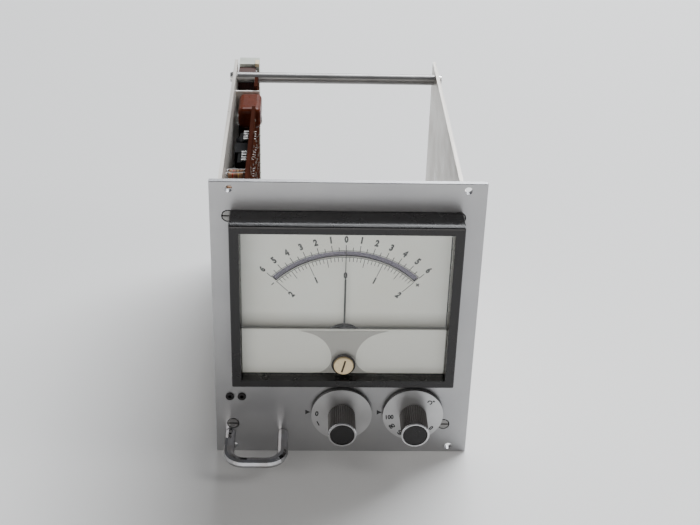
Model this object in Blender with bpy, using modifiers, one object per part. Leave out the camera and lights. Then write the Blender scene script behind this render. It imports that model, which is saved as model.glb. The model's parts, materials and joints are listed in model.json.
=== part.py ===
"""Plug-in rack module of an analogue pH meter, 3 units high and 21 pitches wide.

Frame: +X to the right of someone facing the dial, +Y from the dial towards the rear, +Z up.
Every depth below is measured from the panel's front face. At the end the whole model is moved
along Y, so that the origin is the bottom centre of its bounding box. All sizes are in metres.
"""
import math

import bmesh
import bpy
from mathutils import Matrix, Vector

MM = 0.001
GAP = 0.3 * MM              # clearance between pieces that touch

# Front panel: a standard 3 U x 21 HP plate with its fixing holes.
PANEL_W = 106.3 * MM
PANEL_H = 128.4 * MM
PANEL_T = 2.5 * MM
CORNER_HOLE_X = PANEL_W / 2 - 7.45 * MM
CORNER_HOLE_Z = 3.0 * MM
CORNER_HOLE_R = 1.6 * MM

# Side plates: folded sheet, each with a flange screwed behind the panel.
SHEET = 1.5 * MM
PLATE_LEFT_X = -51.5 * MM   # outer face
PLATE_RIGHT_X = 47.1 * MM   # outer face
PLATE_Z = (11.9 * MM, 116.5 * MM)
PLATE_REAR = 158.0 * MM
FLANGE_W = 10.5 * MM
FLANGE_SCREW_Z = (PANEL_H / 2 - 49.5 * MM, PANEL_H / 2 + 49.5 * MM)
FLANGE_SCREW_X = (-46.0 * MM, 42.9 * MM)

# Tie rods between the plates.
ROD_R = 2.5 * MM
ROD_Y = 143.5 * MM
ROD_INSET = 3.6 * MM        # rod axis below the upper edge, and above the lower edge, of the plates

# Meter: bezel, window, dial and movement.
METER_X = -0.5 * MM
BEZEL_W = 89.6 * MM
BEZEL_Z = (41.9 * MM, 116.2 * MM)
BEZEL_RIM = 3.8 * MM
BEZEL_PROUD = 12.0 * MM
BEZEL_BROW_R = 8.5 * MM     # rounding of the top towards the front
BEZEL_BROW = math.radians(25)
WINDOW_Y = (-8.9 * MM, -7.4 * MM)
COVER_Y = (-6.8 * MM, -6.2 * MM)
COVER_RELIEF = 0.3 * MM
COVER_TOP = 66.6 * MM
WAIST_HALF = 4.9 * MM
WAIST_Z = 53.0 * MM
SHOULDER_R = 12.5 * MM      # sweep of the pedestal's side above its waist
FOOT_R = 7.5 * MM           # and below it
DIAL_Y = (-3.6 * MM, -3.1 * MM)
DIAL_BOTTOM = 62.0 * MM
MIRROR_Y = (-2.8 * MM, -2.4 * MM)
BASE_Y = (-2.1 * MM, -GAP)
BASE_OPENING_R = 12.0 * MM
PIVOT_Z = 59.9 * MM
SCALE_HALF_ANGLE = math.radians(45)
MIRROR_R = (38.4 * MM, 40.8 * MM)
MIRROR_MARGIN = 0.8 * MM
BRIDGE_R = 7.75 * MM
BRIDGE_Y = (-4.6 * MM, -3.9 * MM)
BARREL_R = 27.0 * MM
BARREL_Z = 70.0 * MM
BARREL_REAR = 24.0 * MM
BARREL_WALL = 1.6 * MM
STUD_R = 1.5 * MM
STUD_REAR = 8.5 * MM
STUD_DX = 33.5 * MM
STUD_Z = (50.5 * MM, 107.5 * MM)
POINTER_Y = (-5.5 * MM, -5.15 * MM)
POINTER_R = 42.2 * MM
POINTER_STEP_R = 28.6 * MM
STAFF_R = 0.6 * MM
COIL_R = (8.75 * MM, 10.3 * MM)
COIL_Y = (1.8 * MM, 18.2 * MM)
YOKE_R = (10.9 * MM, 14.4 * MM)
YOKE_Y = (3.4 * MM, 22.0 * MM)
CORE_R = 8.3 * MM
CORE_Y = (3.4 * MM, 16.4 * MM)
ZERO_SCREW_Z = 51.0 * MM
ZERO_SCREW_R = 3.95 * MM

# Control knobs: a flat skirt disc, a fluted grip, a bright ring and a black cap.
KNOB_X = {"left": METER_X, "right": METER_X + 30.0 * MM}
KNOB_Z = 21.1 * MM
DISC_R = 12.7 * MM
DISC_Y = (-2.6 * MM, -0.8 * MM)
GRIP_R = 5.7 * MM
GRIP_Y = (-15.4 * MM, -2.9 * MM)
GRIP_FLUTES = 40
KNOB_FRONT = -16.2 * MM
SHAFT_R = 3.0 * MM

# Bow handle.
HANDLE_X = (-47.2 * MM, -25.0 * MM)
HANDLE_Z = 9.8 * MM
HANDLE_R = 2.25 * MM
HANDLE_REACH = 20.1 * MM    # centre line of the bar in front of the panel
HANDLE_BEND = 6.5 * MM

# Test sockets.
SOCKET_X = (-47.1 * MM, -42.15 * MM)
SOCKET_Z = 28.75 * MM

# Circuit board and what it carries.
BOARD_X = (-41.2 * MM, -39.6 * MM)
BOARD_Y = (8.0 * MM, 148.0 * MM)
BOARD_Z = (14.2 * MM, 114.2 * MM)
NOTCH_Y = (105.5 * MM, 129.4 * MM)
NOTCH_Z = 101.8 * MM
SPACER_Y = (22.0 * MM, 134.0 * MM)
SPACER_Z = (22.0 * MM, 95.0 * MM)
CONNECTOR_Z = (15.5 * MM, 112.5 * MM)
CONNECTOR_REAR = 171.0 * MM

MIDDLE_Y = (CONNECTOR_REAR - HANDLE_REACH - HANDLE_R) / 2

# Name: base colour, metallic, roughness.
MATERIALS = {
    "anodised_aluminium": ((0.62, 0.62, 0.63), 1.0, 0.42),
    "sheet_aluminium": ((0.70, 0.70, 0.70), 1.0, 0.38),
    "bright_steel": ((0.72, 0.72, 0.74), 1.0, 0.22),
    "chrome": ((0.80, 0.80, 0.82), 1.0, 0.08),
    "black_plastic": ((0.025, 0.024, 0.026), 0.0, 0.35),
    "dark_enamel": ((0.03, 0.03, 0.03), 0.0, 0.5),
    "dial_white": ((0.84, 0.83, 0.79), 0.0, 0.6),
    "cover_grey": ((0.70, 0.69, 0.66), 0.0, 0.5),
    "mirror": ((0.85, 0.85, 0.88), 1.0, 0.05),
    "clear_glass": ((0.95, 0.96, 0.96), 0.0, 0.03),
    "cream_plastic": ((0.80, 0.76, 0.64), 0.0, 0.4),
    "grip_grey": ((0.16, 0.16, 0.165), 0.0, 0.45),
    "board_brown": ((0.33, 0.16, 0.08), 0.0, 0.5),
    "phenolic_brown": ((0.20, 0.09, 0.05), 0.0, 0.4),
    "capacitor_brown": ((0.42, 0.12, 0.03), 0.0, 0.35),
    "capacitor_sleeve": ((0.52, 0.48, 0.42), 0.0, 0.35),
    "connector_grey": ((0.55, 0.57, 0.52), 0.0, 0.45),
    "magnet_grey": ((0.24, 0.24, 0.25), 1.0, 0.5),
    "copper": ((0.72, 0.38, 0.22), 1.0, 0.35),
}


# ---------------------------------------------------------------- helpers

def clear_scene():
    for existing in list(bpy.data.objects):
        bpy.data.objects.remove(existing, do_unlink=True)


def new_collection(name):
    collection = bpy.data.collections.new(name)
    bpy.context.scene.collection.children.link(collection)
    return collection


def material(name):
    found = bpy.data.materials.get(name)
    if found:
        return found
    colour, metallic, roughness = MATERIALS[name]
    made = bpy.data.materials.new(name)
    made.use_nodes = True
    shader = made.node_tree.nodes["Principled BSDF"]
    shader.inputs["Base Color"].default_value = (*colour, 1.0)
    shader.inputs["Metallic"].default_value = metallic
    shader.inputs["Roughness"].default_value = roughness
    return made


def add_object(name, mesh, material_name=None, origin=(0, 0, 0)):
    """Link a mesh given in world coordinates as a part, or as a cutter when it has no material."""
    mesh.transform(Matrix.Translation(-Vector(origin)))
    made = bpy.data.objects.new(name, mesh)
    made.location = origin
    if material_name:
        mesh.materials.append(material(material_name))
        mesh.shade_smooth()
        mesh.set_sharp_from_angle(angle=math.radians(30))
        PARTS.objects.link(made)
    else:
        made.hide_render = True
        made.display_type = 'WIRE'
        CUTTERS.objects.link(made)
    return made


def mesh_from(name, build):
    """Run build(bm) on an empty bmesh and return the mesh."""
    shape = bmesh.new()
    build(shape)
    mesh = bpy.data.meshes.new(name)
    shape.to_mesh(mesh)
    shape.free()
    return mesh


def add_box(shape, x, y, z):
    """Add a box between the limits x, y and z, each (low, high)."""
    centre = Vector(((x[0] + x[1]) / 2, (y[0] + y[1]) / 2, (z[0] + z[1]) / 2))
    size = (x[1] - x[0], y[1] - y[0], z[1] - z[0])
    matrix = Matrix.Translation(centre) @ Matrix.Diagonal((*size, 1.0))
    bmesh.ops.create_cube(shape, size=1.0, matrix=matrix)


def add_rod(shape, start, end, radius, end_radius=None, segments=32):
    """Add a closed cylinder, or a cone when end_radius is given, from start to end."""
    start, end = Vector(start), Vector(end)
    direction = end - start
    turn = Vector((0, 0, 1)).rotation_difference(direction).to_matrix().to_4x4()
    matrix = Matrix.Translation((start + end) / 2) @ turn
    bmesh.ops.create_cone(shape, cap_ends=True, segments=segments, radius1=radius,
                          radius2=radius if end_radius is None else end_radius,
                          depth=direction.length, matrix=matrix)


def box(name, x, y, z, material_name=None, origin=(0, 0, 0)):
    return add_object(name, mesh_from(name, lambda s: add_box(s, x, y, z)), material_name, origin)


def rod(name, start, end, radius, material_name=None, origin=(0, 0, 0), segments=32):
    mesh = mesh_from(name, lambda s: add_rod(s, start, end, radius, segments=segments))
    return add_object(name, mesh, material_name, origin)


def rods(name, specs, segments=20):
    """One cutter made of several separate cylinders, each (start, end, radius)."""
    def build(shape):
        for start, end, radius in specs:
            add_rod(shape, start, end, radius, segments=segments)
    return add_object(name, mesh_from(name, build))


def along_y(x, z, y, radius):
    """A cylinder spec along Y at (x, z), for rods()."""
    return ((x, y[0], z), (x, y[1], z), radius)


def along_x(y, z, x, radius):
    """A cylinder spec along X at (y, z), for rods()."""
    return ((x[0], y, z), (x[1], y, z), radius)


def combine(base, tool, operation, solver='EXACT'):
    modifier = base.modifiers.new(tool.name, 'BOOLEAN')
    modifier.operation = operation
    modifier.object = tool
    modifier.solver = solver


def cut(base, *tools):
    for tool in tools:
        combine(base, tool, 'DIFFERENCE')


def fuse(base, *tools):
    for tool in tools:
        combine(base, tool, 'UNION')


def bevel(base, width, segments=2, angle=50):
    modifier = base.modifiers.new("edges", 'BEVEL')
    modifier.width = width
    modifier.segments = segments
    modifier.limit_method = 'ANGLE'
    modifier.angle_limit = math.radians(angle)


def slab(name, outline, low, high, axis, material_name=None, origin=(0, 0, 0)):
    """A flat outline raised into a solid between low and high on an axis.

    Axis 'Y' takes (x, z) points and axis 'Z' takes (x, y) points.
    """
    curve = bpy.data.curves.new(name, 'CURVE')
    curve.dimensions = '2D'
    curve.fill_mode = 'BOTH'
    curve.extrude = (high - low) / 2
    spline = curve.splines.new('POLY')
    spline.points.add(len(outline) - 1)
    for point, (across, up) in zip(spline.points, outline):
        point.co = (across, up, 0, 1)
    spline.use_cyclic_u = True
    middle = (low + high) / 2
    if axis == 'Y':
        matrix = Matrix.Translation((0, middle, 0)) @ Matrix.Rotation(math.radians(90), 4, 'X')
    else:
        matrix = Matrix.Translation((0, 0, middle))
    return add_object(name, mesh_of_curve(name, curve, matrix), material_name, origin)


def mesh_of_curve(name, curve, matrix):
    """Turn a curve into a closed mesh placed by matrix, and remove the curve."""
    holder = bpy.data.objects.new(name + "_curve", curve)
    bpy.context.scene.collection.objects.link(holder)
    evaluated = holder.evaluated_get(bpy.context.evaluated_depsgraph_get())
    mesh = bpy.data.meshes.new_from_object(evaluated)
    bpy.data.objects.remove(holder, do_unlink=True)
    bpy.data.curves.remove(curve)
    shape = bmesh.new()
    shape.from_mesh(mesh)
    bmesh.ops.remove_doubles(shape, verts=shape.verts, dist=0.001 * MM)
    bmesh.ops.transform(shape, matrix=matrix, verts=shape.verts)
    bmesh.ops.recalc_face_normals(shape, faces=shape.faces)
    if shape.calc_volume(signed=True) < 0:
        bmesh.ops.reverse_faces(shape, faces=shape.faces)
    shape.to_mesh(mesh)
    shape.free()
    mesh.materials.clear()
    return mesh


def arc(centre, radius, start, end, steps):
    """Points on an arc about centre, angles in radians from +X towards the second axis."""
    points = []
    for step in range(steps + 1):
        angle = start + (end - start) * step / steps
        points.append((centre[0] + radius * math.cos(angle), centre[1] + radius * math.sin(angle)))
    return points


def turned(name, profile, centre, material_name, steps=32):
    """Turn a profile about an axis along Y through centre = (x, z).

    The profile is a list of (radius, depth) with depth along +Y, starting and ending on the axis
    or closed on itself for a ring, and running front to rear down its outer side.
    """
    mesh = bpy.data.meshes.new(name)
    shape = bmesh.new()
    points = [shape.verts.new((radius, 0, -depth)) for radius, depth in profile]
    for first, second in zip(points, points[1:]):
        shape.edges.new((first, second))
    if profile[0][0] > 0:
        shape.edges.new((points[-1], points[0]))
    shape.to_mesh(mesh)
    shape.free()
    mesh.materials.append(material(material_name))
    made = bpy.data.objects.new(name, mesh)
    made.location = (centre[0], 0, centre[1])
    made.rotation_euler = (math.radians(90), 0, 0)
    screw = made.modifiers.new("turn", 'SCREW')
    screw.steps = steps
    screw.render_steps = steps
    screw.use_merge_vertices = True
    screw.merge_threshold = 0.001 * MM
    screw.use_smooth_shade = True
    PARTS.objects.link(made)
    return made


def meter_limits(clearance=0.0):
    """Limits in X and Z of the space inside the bezel, less a clearance."""
    half = BEZEL_W / 2 - BEZEL_RIM - clearance
    bottom = BEZEL_Z[0] + BEZEL_RIM - 0.4 * MM + clearance
    top = BEZEL_Z[1] - BEZEL_RIM - clearance
    return (METER_X - half, METER_X + half), (bottom, top)


# ---------------------------------------------------------------- chassis

def front_panel():
    panel = box("front_panel", (-PANEL_W / 2, PANEL_W / 2), (0, PANEL_T), (0, PANEL_H),
                "anodised_aluminium")
    bevel(panel, 0.2 * MM, segments=1, angle=80)
    through = (-1 * MM, PANEL_T + 1 * MM)
    holes = [along_y(side * CORNER_HOLE_X, z, through, CORNER_HOLE_R)
             for side in (-1, 1) for z in (CORNER_HOLE_Z, PANEL_H - CORNER_HOLE_Z)]
    holes += [along_y(x, SOCKET_Z, through, 1.7 * MM) for x in SOCKET_X]
    holes += [along_y(x, HANDLE_Z, through, 1.8 * MM) for x in HANDLE_X]
    holes += [along_y(x, KNOB_Z, through, 5.1 * MM) for x in KNOB_X.values()]
    holes += [along_y(METER_X + side * STUD_DX, z, through, STUD_R + GAP)
              for side in (-1, 1) for z in STUD_Z]
    cut(panel, rods("panel_holes", holes))
    meter_hole = rods("panel_meter_hole", [along_y(METER_X, BARREL_Z, through, BARREL_R + 0.5 * MM)],
                      segments=48)
    cut(panel, meter_hole)

    def sinks(shape):
        for x in FLANGE_SCREW_X:
            for z in FLANGE_SCREW_Z:
                add_rod(shape, (x, -0.2 * MM, z), (x, PANEL_T + 0.2 * MM, z),
                        2.75 * MM, 1.25 * MM, segments=16)
    cut(panel, add_object("panel_countersinks", mesh_from("panel_countersinks", sinks)))


def side_plate(side):
    """A folded sheet: the side wall and the flange behind the panel."""
    outer = PLATE_LEFT_X if side == "left" else PLATE_RIGHT_X
    inward = 1 if side == "left" else -1
    front = PANEL_T + GAP
    inner = outer + inward * SHEET
    bend = 2.2 * MM
    tip = outer + inward * FLANGE_W
    outline = [(outer, PLATE_REAR), (outer, front + bend)]
    for step in range(1, 5):
        angle = math.radians(90) * step / 4
        outline.append((outer + inward * bend * (1 - math.cos(angle)),
                        front + bend * (1 - math.sin(angle))))
    outline += [(tip, front), (tip, front + SHEET)]
    small = bend - SHEET
    for step in range(5):
        angle = math.radians(90) * (1 - step / 4)
        outline.append((inner + inward * small * (1 - math.cos(angle)),
                        front + SHEET + small * (1 - math.sin(angle))))
    outline.append((inner, PLATE_REAR))
    plate = slab("side_plate_" + side, outline, PLATE_Z[0], PLATE_Z[1], 'Z', "sheet_aluminium")
    wall = sorted((outer - inward * MM, inner + inward * MM))
    screw_x = FLANGE_SCREW_X[0 if side == "left" else 1]
    flange = (front - MM, front + SHEET + MM)
    holes = [along_y(screw_x, z, flange, 1.55 * MM) for z in FLANGE_SCREW_Z]
    holes += [along_x(ROD_Y, z, wall, 1.8 * MM) for z in rod_heights()]
    if side == "left":
        holes += [along_x(y, z, wall, 1.6 * MM) for y in SPACER_Y for z in SPACER_Z]
        holes += [along_y(x, SOCKET_Z, flange, 1.75 * MM) for x in SOCKET_X]
    cut(plate, rods("side_plate_%s_holes" % side, holes, segments=16))


def rod_heights():
    return PLATE_Z[0] + ROD_INSET, PLATE_Z[1] - ROD_INSET


def tie_rods():
    ends = (PLATE_LEFT_X + SHEET + GAP, PLATE_RIGHT_X - SHEET - GAP)
    for level, z in zip(("lower", "upper"), rod_heights()):
        name = "tie_rod_" + level
        bar = rod(name, (ends[0], ROD_Y, z), (ends[1], ROD_Y, z), ROD_R, "sheet_aluminium")
        bores = [along_x(ROD_Y, z, (end - 9 * MM, end + 9 * MM), 1.6 * MM) for end in ends]
        cut(bar, rods(name + "_bores", bores, segments=16))
        for side, outer, inward in (("left", PLATE_LEFT_X, 1), ("right", PLATE_RIGHT_X, -1)):
            head = outer - inward * GAP
            pan_screw("rod_screw_%s_%s" % (level, side), (head, ROD_Y, z), Vector((inward, 0, 0)),
                      8 * MM)


def pan_screw(name, seat, direction, length, head_r=2.6 * MM, shank_r=1.25 * MM):
    """A slotted pan head screw along X or Y: its head's underside is at seat."""
    seat = Vector(seat)
    outside = seat - direction * 1.3 * MM

    def head(shape):
        add_rod(shape, outside, seat, head_r * 0.86, head_r, segments=24)

    def slot(shape):
        size = Vector((0.7 * MM, 0.7 * MM, 8 * MM))
        size[0 if abs(direction.x) > 0.5 else 1] = 1.6 * MM
        low, high = outside - size / 2, outside + size / 2
        add_box(shape, (low.x, high.x), (low.y, high.y), (low.z, high.z))
    screw = add_object(name, mesh_from(name, head), "bright_steel")
    fuse(screw, rod(name + "_shank", (outside + seat) / 2, seat + direction * length, shank_r,
                    segments=16))
    cut(screw, add_object(name + "_slot", mesh_from(name + "_slot", slot)))
    return screw


def flange_screws():
    """Countersunk slotted screws that hold the panel to the side plates."""
    for side, x in zip(("left", "right"), FLANGE_SCREW_X):
        for level, z in zip(("lower", "upper"), FLANGE_SCREW_Z):
            name = "panel_screw_%s_%s" % (level, side)
            profile = [(0, 0), (2.2 * MM, 0), (2.2 * MM, 0.1 * MM), (1.2 * MM, 1.3 * MM),
                       (1.2 * MM, 6.5 * MM), (0, 6.5 * MM)]
            screw = turned(name, profile, (x, z), "bright_steel", steps=16)
            slot = box(name + "_slot", (x - 3 * MM, x + 3 * MM), (-0.5 * MM, 0.55 * MM),
                       (z - 0.3 * MM, z + 0.3 * MM))
            cut(screw, slot)


def bow_handle():
    """A round bar bent to a U, standing out of the panel, bored for a screw in each foot."""
    left, right = HANDLE_X
    bar = -HANDLE_REACH
    corner = bar + HANDLE_BEND
    path = [(left, -GAP)]
    path += arc((left + HANDLE_BEND, corner), HANDLE_BEND, math.radians(180), math.radians(270), 6)
    path += arc((right - HANDLE_BEND, corner), HANDLE_BEND, math.radians(270), math.radians(360), 6)
    path.append((right, -GAP))
    curve = bpy.data.curves.new("bow_handle", 'CURVE')
    curve.dimensions = '3D'
    curve.bevel_depth = HANDLE_R
    curve.bevel_resolution = 3
    curve.use_fill_caps = True
    curve.resolution_u = 1
    curve.render_resolution_u = 0
    spline = curve.splines.new('POLY')
    spline.points.add(len(path) - 1)
    for point, (x, y) in zip(spline.points, path):
        point.co = (x, y, HANDLE_Z, 1)
    mesh = mesh_of_curve("bow_handle", curve, Matrix.Identity(4))
    handle = add_object("bow_handle", mesh, "chrome")
    bores = [along_y(x, HANDLE_Z, (-8.5 * MM, MM), 1.55 * MM) for x in HANDLE_X]
    cut(handle, rods("bow_handle_bores", bores, segments=16))
    for side, x in zip(("left", "right"), HANDLE_X):
        pan_screw("handle_screw_" + side, (x, PANEL_T + GAP, HANDLE_Z), Vector((0, -1, 0)),
                  9.5 * MM, head_r=1.8 * MM)


def test_sockets():
    """Black insulated sockets: a flat rim on the panel and a bored body through it."""
    for side, x in zip(("left", "right"), SOCKET_X):
        profile = [(0.75 * MM, -0.65 * MM), (1.7 * MM, -0.65 * MM), (1.8 * MM, -0.55 * MM),
                   (1.8 * MM, -GAP), (1.4 * MM, -GAP), (1.4 * MM, 7 * MM), (0.75 * MM, 7 * MM)]
        turned("test_socket_" + side, profile, (x, SOCKET_Z), "black_plastic", steps=20)


# ---------------------------------------------------------------- meter

def meter_bezel():
    """The frame proud of the panel round the dial, its top rounded off towards the front."""
    half = BEZEL_W / 2
    reach = BEZEL_BROW_R * math.sin(BEZEL_BROW)
    level = math.radians(90)
    brow = arc((reach - BEZEL_PROUD, BEZEL_Z[1] - BEZEL_BROW_R), BEZEL_BROW_R, level + BEZEL_BROW,
               level, 5)
    outline = [(-GAP, BEZEL_Z[0]), (-BEZEL_PROUD, BEZEL_Z[0]), *brow, (-GAP, BEZEL_Z[1])]

    def frame(shape):
        corners = [shape.verts.new((METER_X - half, y, z)) for y, z in outline]
        shape.faces.new(corners)
        made = bmesh.ops.extrude_face_region(shape, geom=list(shape.faces))
        moved = [item for item in made["geom"] if isinstance(item, bmesh.types.BMVert)]
        bmesh.ops.translate(shape, vec=(2 * half, 0, 0), verts=moved)
        bmesh.ops.recalc_face_normals(shape, faces=shape.faces)
    bezel = add_object("meter_bezel", mesh_from("meter_bezel", frame), "black_plastic")
    x, z = meter_limits()
    bevel(bezel, 0.5 * MM, segments=2)
    cut(bezel, box("meter_bezel_opening", x, (-BEZEL_PROUD - MM, MM), z))


def meter_window():
    x, z = meter_limits(GAP)
    window = box("meter_window", x, WINDOW_Y, z, "clear_glass")
    cut(window, rods("meter_window_hole", [along_y(METER_X, ZERO_SCREW_Z, (-10 * MM, -6 * MM),
                                                   ZERO_SCREW_R + GAP)], segments=40))


def meter_base():
    """The base plate inside the bezel, open over the movement, with its four fixing studs."""
    x, z = meter_limits(GAP)
    base = box("meter_base", x, BASE_Y, z, "black_plastic")
    cut(base, rods("meter_base_opening", [along_y(METER_X, PIVOT_Z, (BASE_Y[0] - MM, MM),
                                                  BASE_OPENING_R)], segments=40))
    studs = [along_y(METER_X + side * STUD_DX, z_stud, (BASE_Y[0] + 0.6 * MM, STUD_REAR), STUD_R)
             for side in (-1, 1) for z_stud in STUD_Z]
    fuse(base, rods("meter_studs", studs, segments=16))


def meter_case():
    """The round cup behind the base plate, which closes the movement in."""
    inner = BARREL_R - BARREL_WALL
    profile = [(0, BARREL_REAR - BARREL_WALL), (inner, BARREL_REAR - BARREL_WALL), (inner, 0),
               (BARREL_R, 0), (BARREL_R, BARREL_REAR - MM), (BARREL_R - MM, BARREL_REAR),
               (0, BARREL_REAR)]
    turned("meter_case", profile, (METER_X, BARREL_Z), "black_plastic", steps=44)


def meter_nuts():
    """The nuts behind the panel that hold the meter by its studs."""
    nut_y = (PANEL_T + GAP, PANEL_T + GAP + 2.4 * MM)
    for side, x in (("left", METER_X - STUD_DX), ("right", METER_X + STUD_DX)):
        for level, z in zip(("lower", "upper"), STUD_Z):
            name = "meter_nut_%s_%s" % (level, side)
            nut = rod(name, (x, nut_y[0], z), (x, nut_y[1], z), 3.17 * MM, "bright_steel",
                      segments=6)
            cut(nut, rods(name + "_bore", [along_y(x, z, (0, 8 * MM), STUD_R + GAP)], segments=16))


def ring_sector(radii, half_angle, steps):
    """Outline of a ring sector about the pivot, symmetric about the upward direction."""
    up = math.radians(90)
    centre = (METER_X, PIVOT_Z)
    outline = arc(centre, radii[1], up - half_angle, up + half_angle, steps)
    outline += arc(centre, radii[0], up + half_angle, up - half_angle, steps)
    return outline


def dial_plate():
    """The printed dial, slotted for the mirror and notched round the movement."""
    x, z = meter_limits(GAP)
    dial = box("dial_plate", x, DIAL_Y, (DIAL_BOTTOM, z[1]), "dial_white")
    through = (DIAL_Y[0] - MM, DIAL_Y[1] + MM)
    slot = slab("dial_slot", ring_sector(MIRROR_R, SCALE_HALF_ANGLE, 24), *through, 'Y')
    notch = rods("dial_notch", [along_y(METER_X, PIVOT_Z, through, BRIDGE_R - 1.5 * MM)])
    cut(dial, slot, notch)


def mirror_strip():
    radii = (MIRROR_R[0] - MIRROR_MARGIN, MIRROR_R[1] + MIRROR_MARGIN)
    half_angle = SCALE_HALF_ANGLE + math.radians(1.5)
    slab("mirror_strip", ring_sector(radii, half_angle, 24), *MIRROR_Y, 'Y', "mirror")


def pedestal_outline():
    """The raised middle of the lower cover: wide at the top, waisted, spreading at the foot."""
    top = COVER_TOP - 0.6 * MM
    foot = meter_limits(GAP)[1][0] + 0.3 * MM
    waist = METER_X + WAIST_HALF
    right = [(METER_X + 17.5 * MM, top)]
    right += arc((waist + SHOULDER_R, WAIST_Z), SHOULDER_R, math.radians(105), math.radians(180), 8)
    right += arc((waist + FOOT_R, WAIST_Z), FOOT_R, math.radians(180), math.radians(250), 8)[1:]
    right.append((METER_X + 12.5 * MM, foot))
    left = [(2 * METER_X - across, up) for across, up in reversed(right)]
    return right + left


def lower_cover():
    """The cover over the movement, with its raised pedestal round the zero screw."""
    x, z = meter_limits(GAP)
    cover = box("lower_cover", x, COVER_Y, (z[0], COVER_TOP), "cover_grey")
    relief = slab("lower_cover_pedestal", pedestal_outline(), COVER_Y[0] - COVER_RELIEF,
                  COVER_Y[0] + 0.2 * MM, 'Y')
    combine(cover, relief, 'UNION', solver='MANIFOLD')
    cut(cover, rods("lower_cover_hole", [along_y(METER_X, ZERO_SCREW_Z, (-8 * MM, -5 * MM),
                                                 1.8 * MM)]))


def zero_screw():
    """The slotted zero adjuster that stands through the window; it turns about its own axis."""
    profile = [(0, -10.2 * MM), (ZERO_SCREW_R - 0.3 * MM, -10.2 * MM), (ZERO_SCREW_R, -9.9 * MM),
               (ZERO_SCREW_R, -7.5 * MM), (1.45 * MM, -7.5 * MM), (1.45 * MM, -5.9 * MM),
               (0, -5.9 * MM)]
    screw = turned("zero_screw", profile, (METER_X, ZERO_SCREW_Z), "cream_plastic", steps=28)
    slot = box("zero_screw_slot", (-0.4 * MM, 0.4 * MM), (-11 * MM, -9.5 * MM),
               (-2.9 * MM, 2.9 * MM))
    slot.rotation_euler = (0, math.radians(14), 0)
    slot.location = (METER_X, 0, ZERO_SCREW_Z)
    cut(screw, slot)


def movement():
    """Pointer with its staff, moving coil, front bridge and the fixed magnet system."""
    centre = (METER_X, PIVOT_Z)
    origin = (METER_X, 0, PIVOT_Z)
    half_wide, half_fine = 0.38 * MM, 0.15 * MM
    tail = 5.2 * MM
    outline = [(-half_wide, -tail), (half_wide, -tail), (half_wide, POINTER_STEP_R),
               (half_fine, POINTER_STEP_R + MM), (half_fine, POINTER_R),
               (-half_fine, POINTER_R), (-half_fine, POINTER_STEP_R + MM),
               (-half_wide, POINTER_STEP_R)]
    outline = [(METER_X + across, PIVOT_Z + up) for across, up in outline]
    pointer = slab("pointer", outline, *POINTER_Y, 'Y', "dark_enamel", origin)
    hub = rods("pointer_hub", [along_y(*centre, (-5.75 * MM, -4.9 * MM), 1.9 * MM)])
    staff = rods("pointer_staff", [along_y(*centre, (-5.3 * MM, 20 * MM), STAFF_R)], segments=16)
    fuse(pointer, hub, staff)

    bridge = rod("front_bridge", (METER_X, BRIDGE_Y[0], PIVOT_Z), (METER_X, BRIDGE_Y[1], PIVOT_Z),
                 BRIDGE_R, "dark_enamel", segments=48)
    cut(bridge, rods("front_bridge_hole", [along_y(*centre, (-6 * MM, -3 * MM), STAFF_R + GAP)]))

    coil_half = 1.3 * MM
    coil = box("moving_coil", (METER_X - COIL_R[1], METER_X + COIL_R[1]), COIL_Y,
               (PIVOT_Z - coil_half, PIVOT_Z + coil_half), "copper", origin)
    window = box("moving_coil_window", (METER_X - COIL_R[0], METER_X + COIL_R[0]),
                 (COIL_Y[0] + 1.2 * MM, COIL_Y[1] - 1.2 * MM),
                 (PIVOT_Z - 5 * MM, PIVOT_Z + 5 * MM))
    staff_hole = [along_y(*centre, (COIL_Y[0] - MM, COIL_Y[1] + MM), STAFF_R + GAP)]
    cut(coil, window, rods("moving_coil_hole", staff_hole, segments=16))

    profile = [(YOKE_R[0], YOKE_Y[0]), (YOKE_R[1], YOKE_Y[0]), (YOKE_R[1], YOKE_Y[1]),
               (YOKE_R[0], YOKE_Y[1])]
    magnet = turned("magnet_system", profile, centre, "magnet_grey", steps=40)
    core = rods("magnet_core", [along_y(*centre, CORE_Y, CORE_R)], segments=40)
    web = box("magnet_web", (METER_X - 2.5 * MM, METER_X + 2.5 * MM), CORE_Y,
              (PIVOT_Z - 12.5 * MM, PIVOT_Z + 12.5 * MM))
    fuse(magnet, core, web)
    cut(magnet, rods("magnet_bore", [along_y(*centre, (0, 21 * MM), STAFF_R + GAP)], segments=16))


# ---------------------------------------------------------------- controls

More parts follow.
